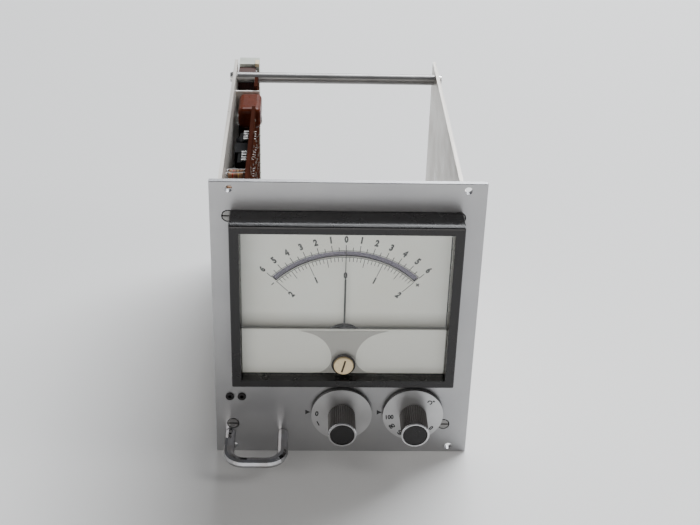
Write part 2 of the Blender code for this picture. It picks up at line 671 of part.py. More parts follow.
def control_knob(side):
    """Skirt disc, fluted grip, bright ring, cap and shaft, all turning about one axis."""
    x = KNOB_X[side]
    centre = (x, KNOB_Z)
    origin = (x, 0, KNOB_Z)
    bore = SHAFT_R + GAP
    disc = rod("knob_disc_" + side, (x, DISC_Y[0], KNOB_Z), (x, DISC_Y[1], KNOB_Z), DISC_R,
               "anodised_aluminium", origin, segments=48)
    cut(disc, rods("knob_disc_bore_" + side, [along_y(*centre, (-5 * MM, 5 * MM), bore)]))

    def fluted(shape):
        add_rod(shape, (x, GRIP_Y[0], KNOB_Z), (x, GRIP_Y[1], KNOB_Z), GRIP_R,
                segments=2 * GRIP_FLUTES)
        for vert in shape.verts:
            offset = Vector((vert.co.x - x, 0, vert.co.z - KNOB_Z))
            place = round(math.atan2(offset.z, offset.x) / math.tau * 2 * GRIP_FLUTES)
            if place % 2:
                vert.co -= offset.normalized() * 0.3 * MM
    name = "knob_grip_" + side
    grip = add_object(name, mesh_from(name, fluted), "grip_grey", origin)
    cut(grip, rods("knob_grip_bore_" + side, [along_y(*centre, (-20 * MM, 0), bore)]))

    ring_r = (5.1 * MM, 5.85 * MM)
    front = KNOB_FRONT
    profile = [(ring_r[0], front), (ring_r[1] - 0.2 * MM, front), (ring_r[1], front + 0.2 * MM),
               (ring_r[1], GRIP_Y[0] - GAP), (ring_r[0], GRIP_Y[0] - GAP)]
    turned("knob_ring_" + side, profile, centre, "bright_steel", steps=32)

    cap_r = ring_r[0] - GAP
    profile = [(0, front + 0.1 * MM), (cap_r - 0.2 * MM, front + 0.1 * MM),
               (cap_r, front + 0.25 * MM), (cap_r, GRIP_Y[0] - GAP), (2.7 * MM, GRIP_Y[0] - GAP),
               (2.7 * MM, -12.6 * MM), (0, -12.6 * MM)]
    turned("knob_cap_" + side, profile, centre, "black_plastic", steps=32)

    rod("knob_shaft_" + side, (x, -12.3 * MM, KNOB_Z), (x, 10.5 * MM, KNOB_Z), SHAFT_R,
        "bright_steel", origin, segments=24)


def control_body(side, name, can_r, can_y, material_name):
    """Switch or potentiometer behind the panel: a round can, a hexagon nut and a bushing."""
    x = KNOB_X[side]
    body = rod(name, (x, can_y[0], KNOB_Z), (x, can_y[1], KNOB_Z), can_r, material_name,
               segments=40)
    bushing = rods(name + "_bushing", [along_y(x, KNOB_Z, (-0.5 * MM, can_y[0] + MM), 4.6 * MM)])
    nut_y = (PANEL_T + GAP, PANEL_T + GAP + 2 * MM)
    nut = rods(name + "_nut", [along_y(x, KNOB_Z, nut_y, 6.6 * MM)], segments=6)
    fuse(body, bushing, nut)
    cut(body, rods(name + "_bore", [along_y(x, KNOB_Z, (-2 * MM, 10.8 * MM), SHAFT_R + GAP)]))


# ---------------------------------------------------------------- electronics

def circuit_board():
    board = box("circuit_board", BOARD_X, BOARD_Y, BOARD_Z, "board_brown")
    notch = box("circuit_board_notch", (BOARD_X[0] - MM, BOARD_X[1] + MM), NOTCH_Y,
                (NOTCH_Z, BOARD_Z[1] + MM))
    wall = (BOARD_X[0] - MM, BOARD_X[1] + MM)
    holes = [along_x(y, z, wall, 1.6 * MM) for y in SPACER_Y for z in SPACER_Z]
    holes += [along_x(ROD_Y, z, wall, ROD_R + 0.5 * MM) for z in rod_heights()]
    cut(board, notch, rods("circuit_board_holes", holes, segments=16))
    inner = PLATE_LEFT_X + SHEET
    for place, y in zip(("front", "rear"), SPACER_Y):
        for level, z in zip(("lower", "upper"), SPACER_Z):
            rod("board_spacer_%s_%s" % (level, place), (inner + GAP, y, z),
                (BOARD_X[0] - GAP, y, z), 2.6 * MM, "bright_steel", segments=6)


def rear_connector():
    """Rear plug: a contact body beside the board's rear edge and a light shell behind it."""
    low, high = CONNECTOR_Z
    left = PLATE_LEFT_X + SHEET + GAP
    body = box("connector_body", (left, BOARD_X[0] - GAP), (BOARD_Y[1] + 0.5 * MM, 162 * MM),
               (low + MM, high - 1.5 * MM), "phenolic_brown")
    fuse(body, box("connector_tongue", (left + 2.4 * MM, BOARD_X[0] - 2.4 * MM),
                   (161 * MM, 169 * MM), (low + 5 * MM, high - 6 * MM)))
    shell = box("connector_shell", (left, BOARD_X[1] - GAP), (162.3 * MM, CONNECTOR_REAR),
                (low, high), "connector_grey")
    cut(shell, box("connector_shell_hollow", (left + 1.2 * MM, BOARD_X[1] - 1.5 * MM),
                   (160 * MM, 173 * MM), (low + 3 * MM, high - 3.5 * MM)))


def board_parts():
    """The larger pieces on the board, which stand towards the left side plate."""
    seat = BOARD_X[0] - GAP
    for index, y in enumerate((66.0 * MM, 87.6 * MM), start=1):
        name = "chip_%d" % index
        body = box(name, (seat - 4.6 * MM, seat - 1.0 * MM), (y, y + 9.8 * MM),
                   (98.6 * MM, 104.8 * MM), "black_plastic")
        for count in range(4):
            leg_y = y + 1.09 * MM + 2.54 * MM * count
            leg = box("%s_leg_%d" % (name, count), (seat - 2.9 * MM, seat),
                      (leg_y - 0.45 * MM, leg_y + 0.45 * MM), (97.6 * MM, 105.8 * MM))
            fuse(body, leg)
    box("reed_relay", (seat - 6.2 * MM, seat), (76.6 * MM, 86.8 * MM), (95.5 * MM, 104.5 * MM),
        "black_plastic")
    for index, (y, z) in enumerate(((34.0 * MM, 101.0 * MM), (34.0 * MM, 88.0 * MM)), start=1):
        can = rod("electrolytic_%d" % index, (seat - 4.2 * MM, y, z),
                  (seat - 4.2 * MM, y + 19 * MM, z), 4.2 * MM, "capacitor_sleeve", segments=20)
        bevel(can, 0.5 * MM, segments=1)
    film = box("film_capacitor", (-47.7 * MM, -37.3 * MM), (107 * MM, 126.8 * MM),
               (NOTCH_Z + GAP, 112 * MM), "capacitor_brown")
    bevel(film, 2.2 * MM, segments=3)
    box("capacitor_bracket", (PLATE_LEFT_X + SHEET + GAP, -38.4 * MM), (127.5 * MM, 128.5 * MM),
        (NOTCH_Z + GAP, 112.4 * MM), "sheet_aluminium")


def build():
    front_panel()
    for side in ("left", "right"):
        side_plate(side)
    tie_rods()
    flange_screws()
    bow_handle()
    test_sockets()
    meter_bezel()
    meter_window()
    meter_base()
    meter_case()
    meter_nuts()
    dial_plate()
    mirror_strip()
    lower_cover()
    zero_screw()
    movement()
    for side in ("left", "right"):
        control_knob(side)
    control_body("left", "rotary_switch", 12.0 * MM, (5.2 * MM, 15 * MM), "black_plastic")
    control_body("right", "potentiometer", 11.0 * MM, (5.2 * MM, 13 * MM), "bright_steel")
    circuit_board()
    rear_connector()
    board_parts()
    for made in (*PARTS.objects, *CUTTERS.objects):
        made.location.y -= MIDDLE_Y


clear_scene()
PARTS = new_collection("ph_meter")
CUTTERS = new_collection("cutters")
build()
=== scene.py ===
"""Looks of a plug-in pH meter module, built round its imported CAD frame.

Frame: +X to the right of someone facing the dial, +Y from the dial to the rear, +Z up, in metres.
"""
import json
import math
import random

import bmesh
import bpy
from mathutils import Matrix, Vector


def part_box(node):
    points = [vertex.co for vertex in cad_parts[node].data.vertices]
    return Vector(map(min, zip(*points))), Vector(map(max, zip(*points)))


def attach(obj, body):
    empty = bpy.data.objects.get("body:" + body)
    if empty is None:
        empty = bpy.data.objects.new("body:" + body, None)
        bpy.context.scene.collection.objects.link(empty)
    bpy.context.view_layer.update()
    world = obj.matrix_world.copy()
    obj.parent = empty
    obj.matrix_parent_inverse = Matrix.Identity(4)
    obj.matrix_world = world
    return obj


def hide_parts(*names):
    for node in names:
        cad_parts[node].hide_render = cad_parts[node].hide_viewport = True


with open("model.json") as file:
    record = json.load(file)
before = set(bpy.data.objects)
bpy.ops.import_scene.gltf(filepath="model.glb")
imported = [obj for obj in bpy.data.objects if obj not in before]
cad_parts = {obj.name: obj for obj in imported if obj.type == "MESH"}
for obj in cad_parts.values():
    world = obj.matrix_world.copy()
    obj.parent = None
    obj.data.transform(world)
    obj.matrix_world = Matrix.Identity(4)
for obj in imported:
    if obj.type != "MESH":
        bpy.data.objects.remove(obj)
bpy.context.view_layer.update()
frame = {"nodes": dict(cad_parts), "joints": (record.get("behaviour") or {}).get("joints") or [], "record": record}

MM = 0.001
FIXED = "module"
INWARD = Vector((1, 0, 0))           # from the left plate towards the middle
OUTWARD = -INWARD
BACKWARD = Vector((0, 1, 0))
GRID = 2.54 * MM                     # spacing of component leads
SHARP = math.radians(35)             # edges bent more than this stay crisp
JOINTS = {joint["name"]: Vector(joint["pos_m"]) for joint in frame["joints"]}
PIVOT = JOINTS["pointer_swing"]
ZERO_AXIS = JOINTS["zero_screw_turn"]
KNOB_AXIS = {"left": JOINTS["function_knob_turn"], "right": JOINTS["temperature_knob_turn"]}
KNOB_BODY = {"left": "function_knob", "right": "temperature_knob"}
PANEL_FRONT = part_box("front_panel")[0].y


# ---- materials

class Surface:
    """A node material being built. Patterns use object coordinates, which are in metres."""

    def __init__(self, name, metallic=0.0):
        self.material = bpy.data.materials.new(name)
        self.material.use_nodes = True
        self.tree = self.material.node_tree
        self.shader = self.tree.nodes["Principled BSDF"]
        self.where = self.node("TexCoord").outputs["Object"]
        self.set("Metallic", metallic)

    def node(self, kind, **settings):
        made = self.tree.nodes.new("ShaderNode" + kind)
        for key, value in settings.items():
            setattr(made, key, value)
        return made

    def feed(self, socket, value):
        if isinstance(value, bpy.types.NodeSocket):
            self.tree.links.new(value, socket)
        else:
            socket.default_value = value

    def set(self, socket, value):
        self.feed(self.shader.inputs[socket], value)

    def math(self, operation, first, second=0.0):
        made = self.node("Math", operation=operation)
        self.feed(made.inputs[0], first)
        self.feed(made.inputs[1], second)
        return made.outputs[0]

    def remap(self, value, low, high, to_low=0.0, to_high=1.0):
        made = self.node("MapRange")
        for index, item in enumerate((value, low, high, to_low, to_high)):
            self.feed(made.inputs[index], item)
        return made.outputs[0]

    def blend(self, factor, first, second):
        made = self.node("Mix", data_type='RGBA')
        self.feed(made.inputs[0], factor)
        for socket, colour in zip(made.inputs[6:8], (first, second)):
            self.feed(socket, colour if isinstance(colour, bpy.types.NodeSocket) else (*colour, 1))
        return made.outputs[2]

    def colour(self, factor, first, second):
        self.set("Base Color", self.blend(factor, first, second))

    def gloss(self, value, low, high, smooth, rough):
        """Roughness that goes from smooth to rough while value goes from low to high."""
        self.set("Roughness", self.remap(value, low, high, smooth, rough))

    def noise(self, size, stretch=(1, 1, 1), detail=3.0):
        """Smooth noise with features about size metres across, longer where stretch is small."""
        place = self.node("Mapping")
        place.inputs["Scale"].default_value = stretch
        self.feed(place.inputs["Vector"], self.where)
        made = self.node("TexNoise")
        made.inputs["Scale"].default_value = 1 / size
        made.inputs["Detail"].default_value = detail
        self.feed(made.inputs["Vector"], place.outputs[0])
        return made.outputs["Fac"]

    def cells(self, size):
        """Distance to the nearest of points scattered size metres apart, in units of size."""
        made = self.node("TexVoronoi")
        made.inputs["Scale"].default_value = 1 / size
        self.feed(made.inputs["Vector"], self.where)
        return made.outputs["Distance"]

    def along(self, axis):
        """The object coordinate along one axis."""
        made = self.node("SeparateXYZ")
        self.feed(made.inputs[0], self.where)
        return made.outputs["XYZ".index(axis)]

    def distance(self, centre, axes='XZ'):
        """Distance from centre, measured along two axes only."""
        squares = []
        for axis in axes:
            offset = self.math('SUBTRACT', self.along(axis), centre["XYZ".index(axis)])
            squares.append(self.math('MULTIPLY', offset, offset))
        return self.math('SQRT', self.math('ADD', *squares))

    def bump(self, height, strength, depth):
        made = self.node("Bump")
        made.inputs["Strength"].default_value = strength
        made.inputs["Distance"].default_value = depth
        self.feed(made.inputs["Height"], height)
        before = self.shader.inputs["Normal"]
        if before.is_linked:
            self.feed(made.inputs["Normal"], before.links[0].from_socket)
        self.feed(before, made.outputs[0])


def scaled(colour, factor):
    return [channel * factor for channel in colour]


def satin_metal(name, dark, light, roughness, stretch=(1, 1, 1), grain=0.12 * MM):
    """Worked or anodised metal: fine grain, cloudy tone, faint marks from handling."""
    made = Surface(name, 1.0)
    fine = made.noise(grain, stretch, 2.0)
    scuffs = made.remap(made.noise(2.5 * MM, (1, 1, 0.12), 4.0), 0.66, 0.74)
    made.colour(made.remap(made.noise(22 * MM), 0.32, 0.68), dark, light)
    spread = made.remap(fine, 0.3, 0.7, roughness - 0.05, roughness + 0.05)
    made.set("Roughness", made.math('ADD', spread, made.math('MULTIPLY', scuffs, 0.07)))
    made.bump(fine, 0.12, 0.01 * MM)
    return made.material


def rolled_sheet(name):
    """Bare aluminium sheet with rolling lines along Y and a dull oxide bloom."""
    made = Surface(name, 0.55)
    lines = made.noise(0.9 * MM, (1, 0.008, 1), 5.0)
    bloom = made.remap(made.noise(16 * MM, detail=5.0), 0.35, 0.7)
    marks = made.remap(made.noise(1.6 * MM, (1, 0.05, 1)), 0.68, 0.76)
    streaks = made.blend(made.remap(lines, 0.35, 0.65), (0.65, 0.62, 0.57), (0.76, 0.735, 0.69))
    made.colour(bloom, streaks, (0.60, 0.565, 0.51))
    rough = made.remap(lines, 0.35, 0.65, 0.25, 0.42)
    made.set("Roughness", made.math('ADD', rough, made.math('MULTIPLY', bloom, 0.1)))
    made.bump(lines, 0.12, 0.02 * MM)
    made.bump(marks, 0.05, 0.02 * MM)
    return made.material


def turned_metal(name, centre, colour, roughness, spread=0.06, face=None):
    """Lathe-faced metal with fine rings about an axis along Y, black behind its front face: a real black rim on a
    knob disc, painted shade in a panel screw's countersink.
    """
    made = Surface(name, 1.0)
    pitch = 0.22 * MM
    rings = made.math('SINE', made.math('MULTIPLY', made.distance(centre), math.tau / pitch))
    cloud = made.noise(5 * MM)
    base = made.blend(made.remap(cloud, 0.3, 0.7), colour, scaled(colour, 1.1))
    if face is not None:
        # Behind the face: the black rim of a knob disc; painted shade in the countersink round a panel screw.
        rim = made.remap(made.along('Y'), face + 0.2 * MM, face + 0.3 * MM)
        base = made.blend(rim, base, (0.012, 0.011, 0.011))
        made.set("Metallic", made.math('SUBTRACT', 1.0, rim))
    made.set("Base Color", base)
    made.gloss(cloud, 0.3, 0.7, roughness - spread, roughness + spread)
    made.bump(rings, 0.22, 0.01 * MM)
    return made.material


def plated_steel(name):
    made = Surface(name, 1.0)
    cloud = made.noise(1.6 * MM, detail=4.0)
    tint = (0.70, 0.69, 0.67)
    made.colour(made.remap(cloud, 0.35, 0.65), tint, scaled(tint, 0.72))
    made.gloss(cloud, 0.3, 0.7, 0.2, 0.38)
    made.bump(made.noise(0.15 * MM), 0.1, 0.01 * MM)
    return made.material


def polished_chrome(name):
    made = Surface(name, 1.0)
    wear = made.remap(made.noise(6 * MM, detail=5.0), 0.4, 0.72)
    made.colour(wear, (0.46, 0.46, 0.48), (0.37, 0.355, 0.34))
    made.gloss(wear, 0.0, 1.0, 0.05, 0.16)
    made.bump(made.noise(1.2 * MM, detail=2.0), 0.05, 0.01 * MM)
    return made.material


def moulding(name, colour, roughness, dust_and_shade=0.0, texture=0.3 * MM, lift=0.02 * MM, shine=0.5):
    """Moulded plastic: faint surface texture, uneven gloss and a few specks of dust."""
    made = Surface(name)
    cloud = made.noise(7 * MM, detail=4.0)
    base = made.blend(made.remap(cloud, 0.3, 0.7), colour, scaled(colour, 1.18))
    if dust_and_shade:
        specks = made.remap(made.cells(0.9 * MM), 0.05, 0.02)
        patches = made.remap(made.noise(12 * MM), 0.45, 0.65)
        amount = made.math('MULTIPLY', made.math('MULTIPLY', specks, patches), dust_and_shade)
        base = made.blend(amount, base, (0.45, 0.43, 0.40))
    made.set("Base Color", base)
    made.set("Specular IOR Level", shine)
    made.gloss(cloud, 0.3, 0.7, roughness - 0.05, roughness + 0.06)
    made.bump(made.noise(texture), 0.15, lift)
    return made.material


def slotted_cream(name):
    """The cream zero screw, coloured near-black in its driver slot as painted shade."""
    made = Surface(name)
    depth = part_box("zero_screw")[0].y
    sunk = made.remap(made.along('Y'), depth + 0.12 * MM, depth + 0.4 * MM)
    inside = made.remap(made.distance(ZERO_AXIS), 3.8 * MM, 3.5 * MM)
    cloud = made.remap(made.noise(1.4 * MM, detail=4.0), 0.3, 0.7)
    cream = made.blend(cloud, (0.66, 0.54, 0.34), (0.58, 0.46, 0.27))
    # Painted shade: the bottom of the driver slot is coloured near-black.
    made.colour(made.math('MULTIPLY', sunk, inside), cream, (0.05, 0.032, 0.018))
    made.gloss(cloud, 0.0, 1.0, 0.34, 0.5)
    made.bump(made.noise(0.5 * MM), 0.15, 0.02 * MM)
    return made.material


def dial_paint(name):
    """Matt off-white enamel, a little yellowed, with painted shade darkening it above the lower cover."""
    made = Surface(name)
    aged = made.remap(made.noise(26 * MM), 0.3, 0.75)
    paint = made.blend(aged, (0.82, 0.81, 0.77), (0.77, 0.745, 0.68))
    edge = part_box("lower_cover")[1].z
    # Painted shade: the dial darkens towards the lower cover's top edge, as if the cover shaded it.
    dust_and_shade = made.remap(made.along('Z'), edge, edge + 6.5 * MM, 0.8, 0.0)
    made.colour(dust_and_shade, paint, (0.27, 0.25, 0.22))
    made.gloss(made.noise(0.6 * MM), 0.3, 0.7, 0.44, 0.58)
    made.bump(made.noise(0.2 * MM), 0.1, 0.01 * MM)
    return made.material


def cover_moulding(name):
    """The lower cover: pale lobes, and a darker pedestal that stands proud of them."""
    made = Surface(name)
    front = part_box("lower_cover")[0].y
    raised = made.remap(made.along('Y'), front + 0.3 * MM, front)
    speckle = made.remap(made.noise(0.35 * MM), 0.3, 0.7)
    lobes = made.blend(speckle, (0.74, 0.72, 0.68), (0.70, 0.68, 0.635))
    pedestal = made.blend(speckle, (0.36, 0.34, 0.32), (0.39, 0.37, 0.35))
    made.colour(raised, lobes, pedestal)
    made.gloss(speckle, 0.0, 1.0, 0.36, 0.48)
    made.bump(made.noise(0.3 * MM), 0.1, 0.02 * MM)
    return made.material


def clear_window(name):
    """A thin pane: it lets light straight through and reflects at its faces."""
    made = Surface(name)
    mirror = made.node("BsdfGlossy")
    smears = made.noise(14 * MM, (1, 1, 0.5), 4.0)
    made.feed(mirror.inputs["Roughness"], made.remap(smears, 0.45, 0.7, 0.01, 0.07))
    clear = made.node("BsdfTransparent")
    clear.inputs["Color"].default_value = (0.955, 0.965, 0.96, 1)
    facing = made.node("LayerWeight").outputs["Facing"]
    grazing = made.math('MULTIPLY', made.math('POWER', facing, 5.0), 0.95)
    share = made.math('ADD', grazing, 0.045)
    mix = made.node("MixShader")
    for socket, item in zip(mix.inputs, (share, clear.outputs[0], mirror.outputs[0])):
        made.feed(socket, item)
    made.tree.nodes.remove(made.shader)
    made.feed(made.tree.nodes["Material Output"].inputs["Surface"], mix.outputs[0])
    return made.material


def laminate(name, dark, light, shine=0.0):
    """Resin-bonded board with a woven or papery fibre in it."""
    made = Surface(name)
    made.set("Specular IOR Level", shine)
    warp = made.noise(0.4 * MM, (1, 0.08, 1), 2.0)
    weft = made.noise(0.4 * MM, (1, 1, 0.08), 2.0)
    fibre = made.remap(made.math('ADD', warp, weft), 0.8, 1.2)
    stain = made.remap(made.noise(12 * MM, detail=4.0), 0.35, 0.7)
    made.colour(made.math('MULTIPLY', fibre, stain), dark, light)
    made.gloss(stain, 0.0, 1.0, 0.44, 0.62)
    made.bump(fibre, 0.1, 0.02 * MM)
    return made.material


def ink(name, colour):
    made = Surface(name)
    worn = made.remap(made.noise(0.5 * MM, detail=4.0), 0.25, 0.75)
    made.colour(worn, colour, [channel * 1.6 + 0.01 for channel in colour])
    made.gloss(worn, 0.0, 1.0, 0.42, 0.6)
    return made.material


def lacquer(name, dark, light):
    """Thick dipped coating with uneven flow."""
    made = Surface(name)
    made.set("Specular IOR Level", 0.12)
    made.colour(made.remap(made.noise(3.5 * MM), 0.3, 0.7), dark, light)
    made.gloss(made.noise(1.5 * MM), 0.3, 0.7, 0.26, 0.42)
    made.bump(made.noise(1.8 * MM, detail=1.0), 0.12, 0.08 * MM)
    return made.material


def wound_wire(name):
    """Enamelled copper wire in close turns, coloured darker in the grooves between turns and lighter on their
    crests: painted shade.
    """
    made = Surface(name, 0.9)
    made.set("Roughness", 0.3)
    turns = made.math('SINE', made.math('MULTIPLY', made.along('Z'), math.tau / (0.16 * MM)))
    # Painted shade: the colour follows the same ripple as the bump, darkest in the grooves.
    made.colour(made.remap(turns, -1, 1), (0.36, 0.13, 0.05), (0.72, 0.34, 0.16))
    made.bump(turns, 0.5, 0.04 * MM)
    return made.material


MATERIALS = {
    "anodised_aluminium": satin_metal("anodised_aluminium", (0.36, 0.36, 0.37),
                                      (0.40, 0.40, 0.405), 0.36),
    "sheet_aluminium": rolled_sheet("rolled_sheet"),
    "bright_steel": plated_steel("plated_steel"),
    "chrome": polished_chrome("polished_chrome"),
    "black_plastic": moulding("black_moulding", (0.007, 0.0065, 0.007), 0.29, texture=0.6 * MM,
                              lift=0.004 * MM, shine=0.4),
    "dark_enamel": moulding("dark_enamel", (0.014, 0.012, 0.012), 0.5, texture=0.1 * MM),
    "dial_white": dial_paint("dial_paint"),
    "cover_grey": cover_moulding("cover_moulding"),
    "mirror": satin_metal("mirror_band", (0.115, 0.10, 0.135), (0.15, 0.13, 0.17), 0.2),
    "clear_glass": clear_window("clear_window"),
    "cream_plastic": moulding("cream_moulding", (0.68, 0.58, 0.38), 0.42, texture=0.5 * MM),
    "grip_grey": moulding("grip_moulding", (0.062, 0.057, 0.053), 0.42, dust_and_shade=0.3),
    "board_brown": laminate("board_laminate", (0.036, 0.012, 0.008), (0.062, 0.020, 0.012)),
    "phenolic_brown": laminate("phenolic", (0.05, 0.022, 0.018), (0.085, 0.036, 0.028), shine=0.2),
    "capacitor_brown": lacquer("capacitor_lacquer", (0.07, 0.012, 0.004), (0.11, 0.020, 0.006)),
    "capacitor_sleeve": lacquer("capacitor_sleeve", (0.44, 0.40, 0.34), (0.54, 0.50, 0.44)),
    "connector_grey": moulding("connector_moulding", (0.47, 0.50, 0.44), 0.45, dust_and_shade=0.3),
    "magnet_grey": satin_metal("ground_iron", (0.20, 0.20, 0.21), (0.28, 0.28, 0.29), 0.42),
    "copper": wound_wire("enamelled_copper"),
}
BLACK_INK = ink("black_ink", (0.006, 0.006, 0.007))
SOLDER = satin_metal("solder", (0.16, 0.155, 0.15), (0.26, 0.25, 0.24), 0.46, grain=0.3 * MM)
ROD_METAL = satin_metal("drawn_rod", (0.27, 0.265, 0.26), (0.33, 0.325, 0.32), 0.42, (0.02, 1, 1))
FLUXED = laminate("fluxed_solder", (0.11, 0.085, 0.07), (0.19, 0.16, 0.14), shine=0.15)
TRACE = laminate("lacquered_copper", (0.065, 0.022, 0.011), (0.105, 0.036, 0.018))
GOLD = satin_metal("contact_gold", (0.70, 0.50, 0.20), (0.80, 0.60, 0.28), 0.25)
CHIP_BLACK = moulding("chip_epoxy", (0.008, 0.008, 0.009), 0.7, texture=0.15 * MM, shine=0.06)
PHENOLIC = MATERIALS["phenolic_brown"]
STEEL = MATERIALS["bright_steel"]


def refinish(name, material):
    """Give a CAD node a finish of its own instead of its slot's."""
    frame["nodes"][name].data.materials[0] = material


def dress_cad_nodes():
    """Give every CAD node the finished material of its slot, then a few a finer one."""
    slots = {part["node"]: part["material_slot"] for part in frame["record"]["subparts"]}
    for name, made in frame["nodes"].items():
        made.data.materials.clear()
        made.data.materials.append(MATERIALS[slots[name]])
    for side, axis in KNOB_AXIS.items():
        disc = "knob_disc_" + side
        refinish(disc, turned_metal("faced_disc_" + side, axis, (0.52, 0.52, 0.525), 0.34,
                                    face=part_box(disc)[0].y))
        refinish("knob_ring_" + side, turned_metal("turned_ring_" + side, axis,
                                                   (0.56, 0.56, 0.57), 0.18, spread=0.04))
    for name in frame["nodes"]:
        if name.startswith("panel_screw"):
            # Black behind the panel's front face: painted shade in the countersinks round the screw heads.
            refinish(name, turned_metal(name + "_head", middle_of(name), (0.25, 0.245, 0.24), 0.36,
                                        face=PANEL_FRONT))
    refinish("zero_screw", slotted_cream("zero_screw_cream"))
    for name, material in (("front_bridge", CHIP_BLACK), ("reed_relay", CHIP_BLACK),
                           ("tie_rod_lower", ROD_METAL), ("tie_rod_upper", ROD_METAL)):
        refinish(name, material)


# ---- pieces

def at(x, y, z):
    """A point from millimetres, with y counted from the panel's front face."""
    return Vector((x * MM, PANEL_FRONT + y * MM, z * MM))


def middle_of(name):
    low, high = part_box(name)
    return (low + high) / 2


def around(axis, radius, degrees, depth):
    """A point about an axis along Y, angle from +X towards +Z; radius in mm, depth in metres."""
    angle = math.radians(degrees)
    return Vector((axis.x + radius * MM * math.cos(angle), depth,
                   axis.z + radius * MM * math.sin(angle)))


def behind(axis, name):
    """The point of an axis along Y at the rear face of a CAD node."""
    return Vector((axis.x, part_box(name)[1].y, axis.z))


def add_object(name, data):
    made = bpy.data.objects.new(name, data)
    bpy.context.scene.collection.objects.link(made)
    return made


def add_mesh(name, shape, materials):
    """An object from a finished bmesh."""
    mesh = bpy.data.meshes.new(name)
    shape.to_mesh(mesh)
    shape.free()
    for item in materials:
        mesh.materials.append(item)
    return add_object(name, mesh)


def piece(name, materials, build, body=FIXED, replaces=None):
    """Run build(shape) on an empty bmesh and make the closed result ride on a CAD body."""
    shape = bmesh.new()
    build(shape)
    bmesh.ops.recalc_face_normals(shape, faces=shape.faces)
    made = add_mesh(name, shape, materials)
    made.data.shade_smooth()
    made.data.set_sharp_from_angle(angle=SHARP)
    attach(made, body)
    if replaces:
        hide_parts(replaces)


def add_faces(shape, loops, index):
    """One face for each loop of vertices, with repeated neighbours dropped."""
    for loop in loops:
        face = shape.faces.new(list(dict.fromkeys(loop)))
        face.material_index = index


def add_loft(shape, outlines, index=0):
    """A closed solid through a series of outlines with the same number of points."""
    loops = [[shape.verts.new(point) for point in outline] for outline in outlines]
    add_faces(shape, [loops[0], loops[-1]], index)
    for low, high in zip(loops, loops[1:]):
        add_faces(shape, [(low[step - 1], low[step], high[step], high[step - 1])
                          for step in range(len(low))], index)


def add_plate(shape, outline, push, index=0):
    """A flat outline thickened by the vector push."""
    add_loft(shape, (outline, [point + push for point in outline]), index)


def add_box(shape, corner, opposite, index=0):
    (x0, y0, z0), (x1, y1, z1) = corner, opposite
    outline = [Vector((x0, y, z)) for y, z in ((y0, z0), (y1, z0), (y1, z1), (y0, z1))]
    add_plate(shape, outline, Vector((x1 - x0, 0, 0)), index)


def arc_points(centre, side, other, radius, angles):
    """Points about centre, each angle counted from side towards other."""
    return [centre + (side * math.cos(angle) + other * math.sin(angle)) * radius
            for angle in angles]


def square_to(axis):
    """Two unit vectors, square to a unit axis and to each other."""
    side = axis.orthogonal().normalized()
    return side, axis.cross(side)


def even_angles(count):
    return [math.tau * step / count for step in range(count)]


def ring_points(centre, axis, radius, segments):
    return arc_points(centre, *square_to(axis), radius, even_angles(segments))


def add_turned(shape, profile, start, axis, segments=20, index=0, ring=False):
    """Turn (radius, distance) points in mm about a unit axis from start.

    A solid profile starts and ends on the axis; a ring's last point joins its first.
    """
    circles = []
    for radius, along in profile:
        centre = start + axis * along * MM
        points = ring_points(centre, axis, radius * MM, segments) if radius else [centre]
        circles.append([shape.verts.new(point) for point in points])
    after = circles[1:] + circles[:1] if ring else circles[1:]
    for low, high in zip(circles, after):
        add_faces(shape, [(low[(step - 1) % len(low)], low[step % len(low)],
                           high[step % len(high)], high[(step - 1) % len(high)])
                          for step in range(segments)], index)


def add_rod(shape, start, axis, radius, length, segments=16, index=0, edge=0.1):
    """A short rod with broken edges, sizes in mm."""
    profile = [(0, 0), (radius - edge, 0), (radius, edge), (radius, length - edge),
               (radius - edge, length), (0, length)]
    add_turned(shape, profile, start, axis, segments, index)


def add_path(shape, points, radius, index=0, segments=8):
    """A round wire of a radius in mm through points, with flat ends."""
    side = None
    rings = []
    for place, point in enumerate(points):
        before, after = points[max(place - 1, 0)], points[min(place + 1, len(points) - 1)]
        along = (after - before).normalized()
        side = along.orthogonal() if side is None else side - along * side.dot(along)
        side.normalize()
        rings.append(arc_points(point, side, along.cross(side), radius * MM,
                                even_angles(segments)))
    add_loft(shape, rings, index)


def curved(points, steps=6):
    """Points of a smooth curve through the given ones."""
    ends = [2 * points[0] - points[1], *points, 2 * points[-1] - points[-2]]
    found = [points[0]]
    for a, b, c, d in zip(ends, ends[1:], ends[2:], ends[3:]):
        for step in range(1, steps + 1):
            t = step / steps
            found.append(0.5 * (2 * b + (c - a) * t + (2 * a - 5 * b + 4 * c - d) * t * t
                                + (3 * b - a - 3 * c + d) * t ** 3))
    return found


def add_screw_head(shape, seat, axis, radius, height, turn):
    """A slotted head of sizes in mm that stands on seat along axis."""
    half = height / 2
    add_turned(shape, [(0, 0), (radius, 0), (radius, half), (0, half)], seat, axis, 24)
    slot = 0.3 / radius
    for start in (turn, turn + math.pi):
        arc = [start + slot + (math.pi - 2 * slot) * step / 12 for step in range(13)]
        add_loft(shape, [arc_points(seat + axis * height * level * MM, *square_to(axis),
                                    radius * reach * MM, arc)
                         for level, reach in ((0.5, 1.0), (0.8, 0.95), (1.0, 0.8))])


INK_THICK = 0.03 * MM
INK_PUSH = Vector((0, INK_THICK, 0))


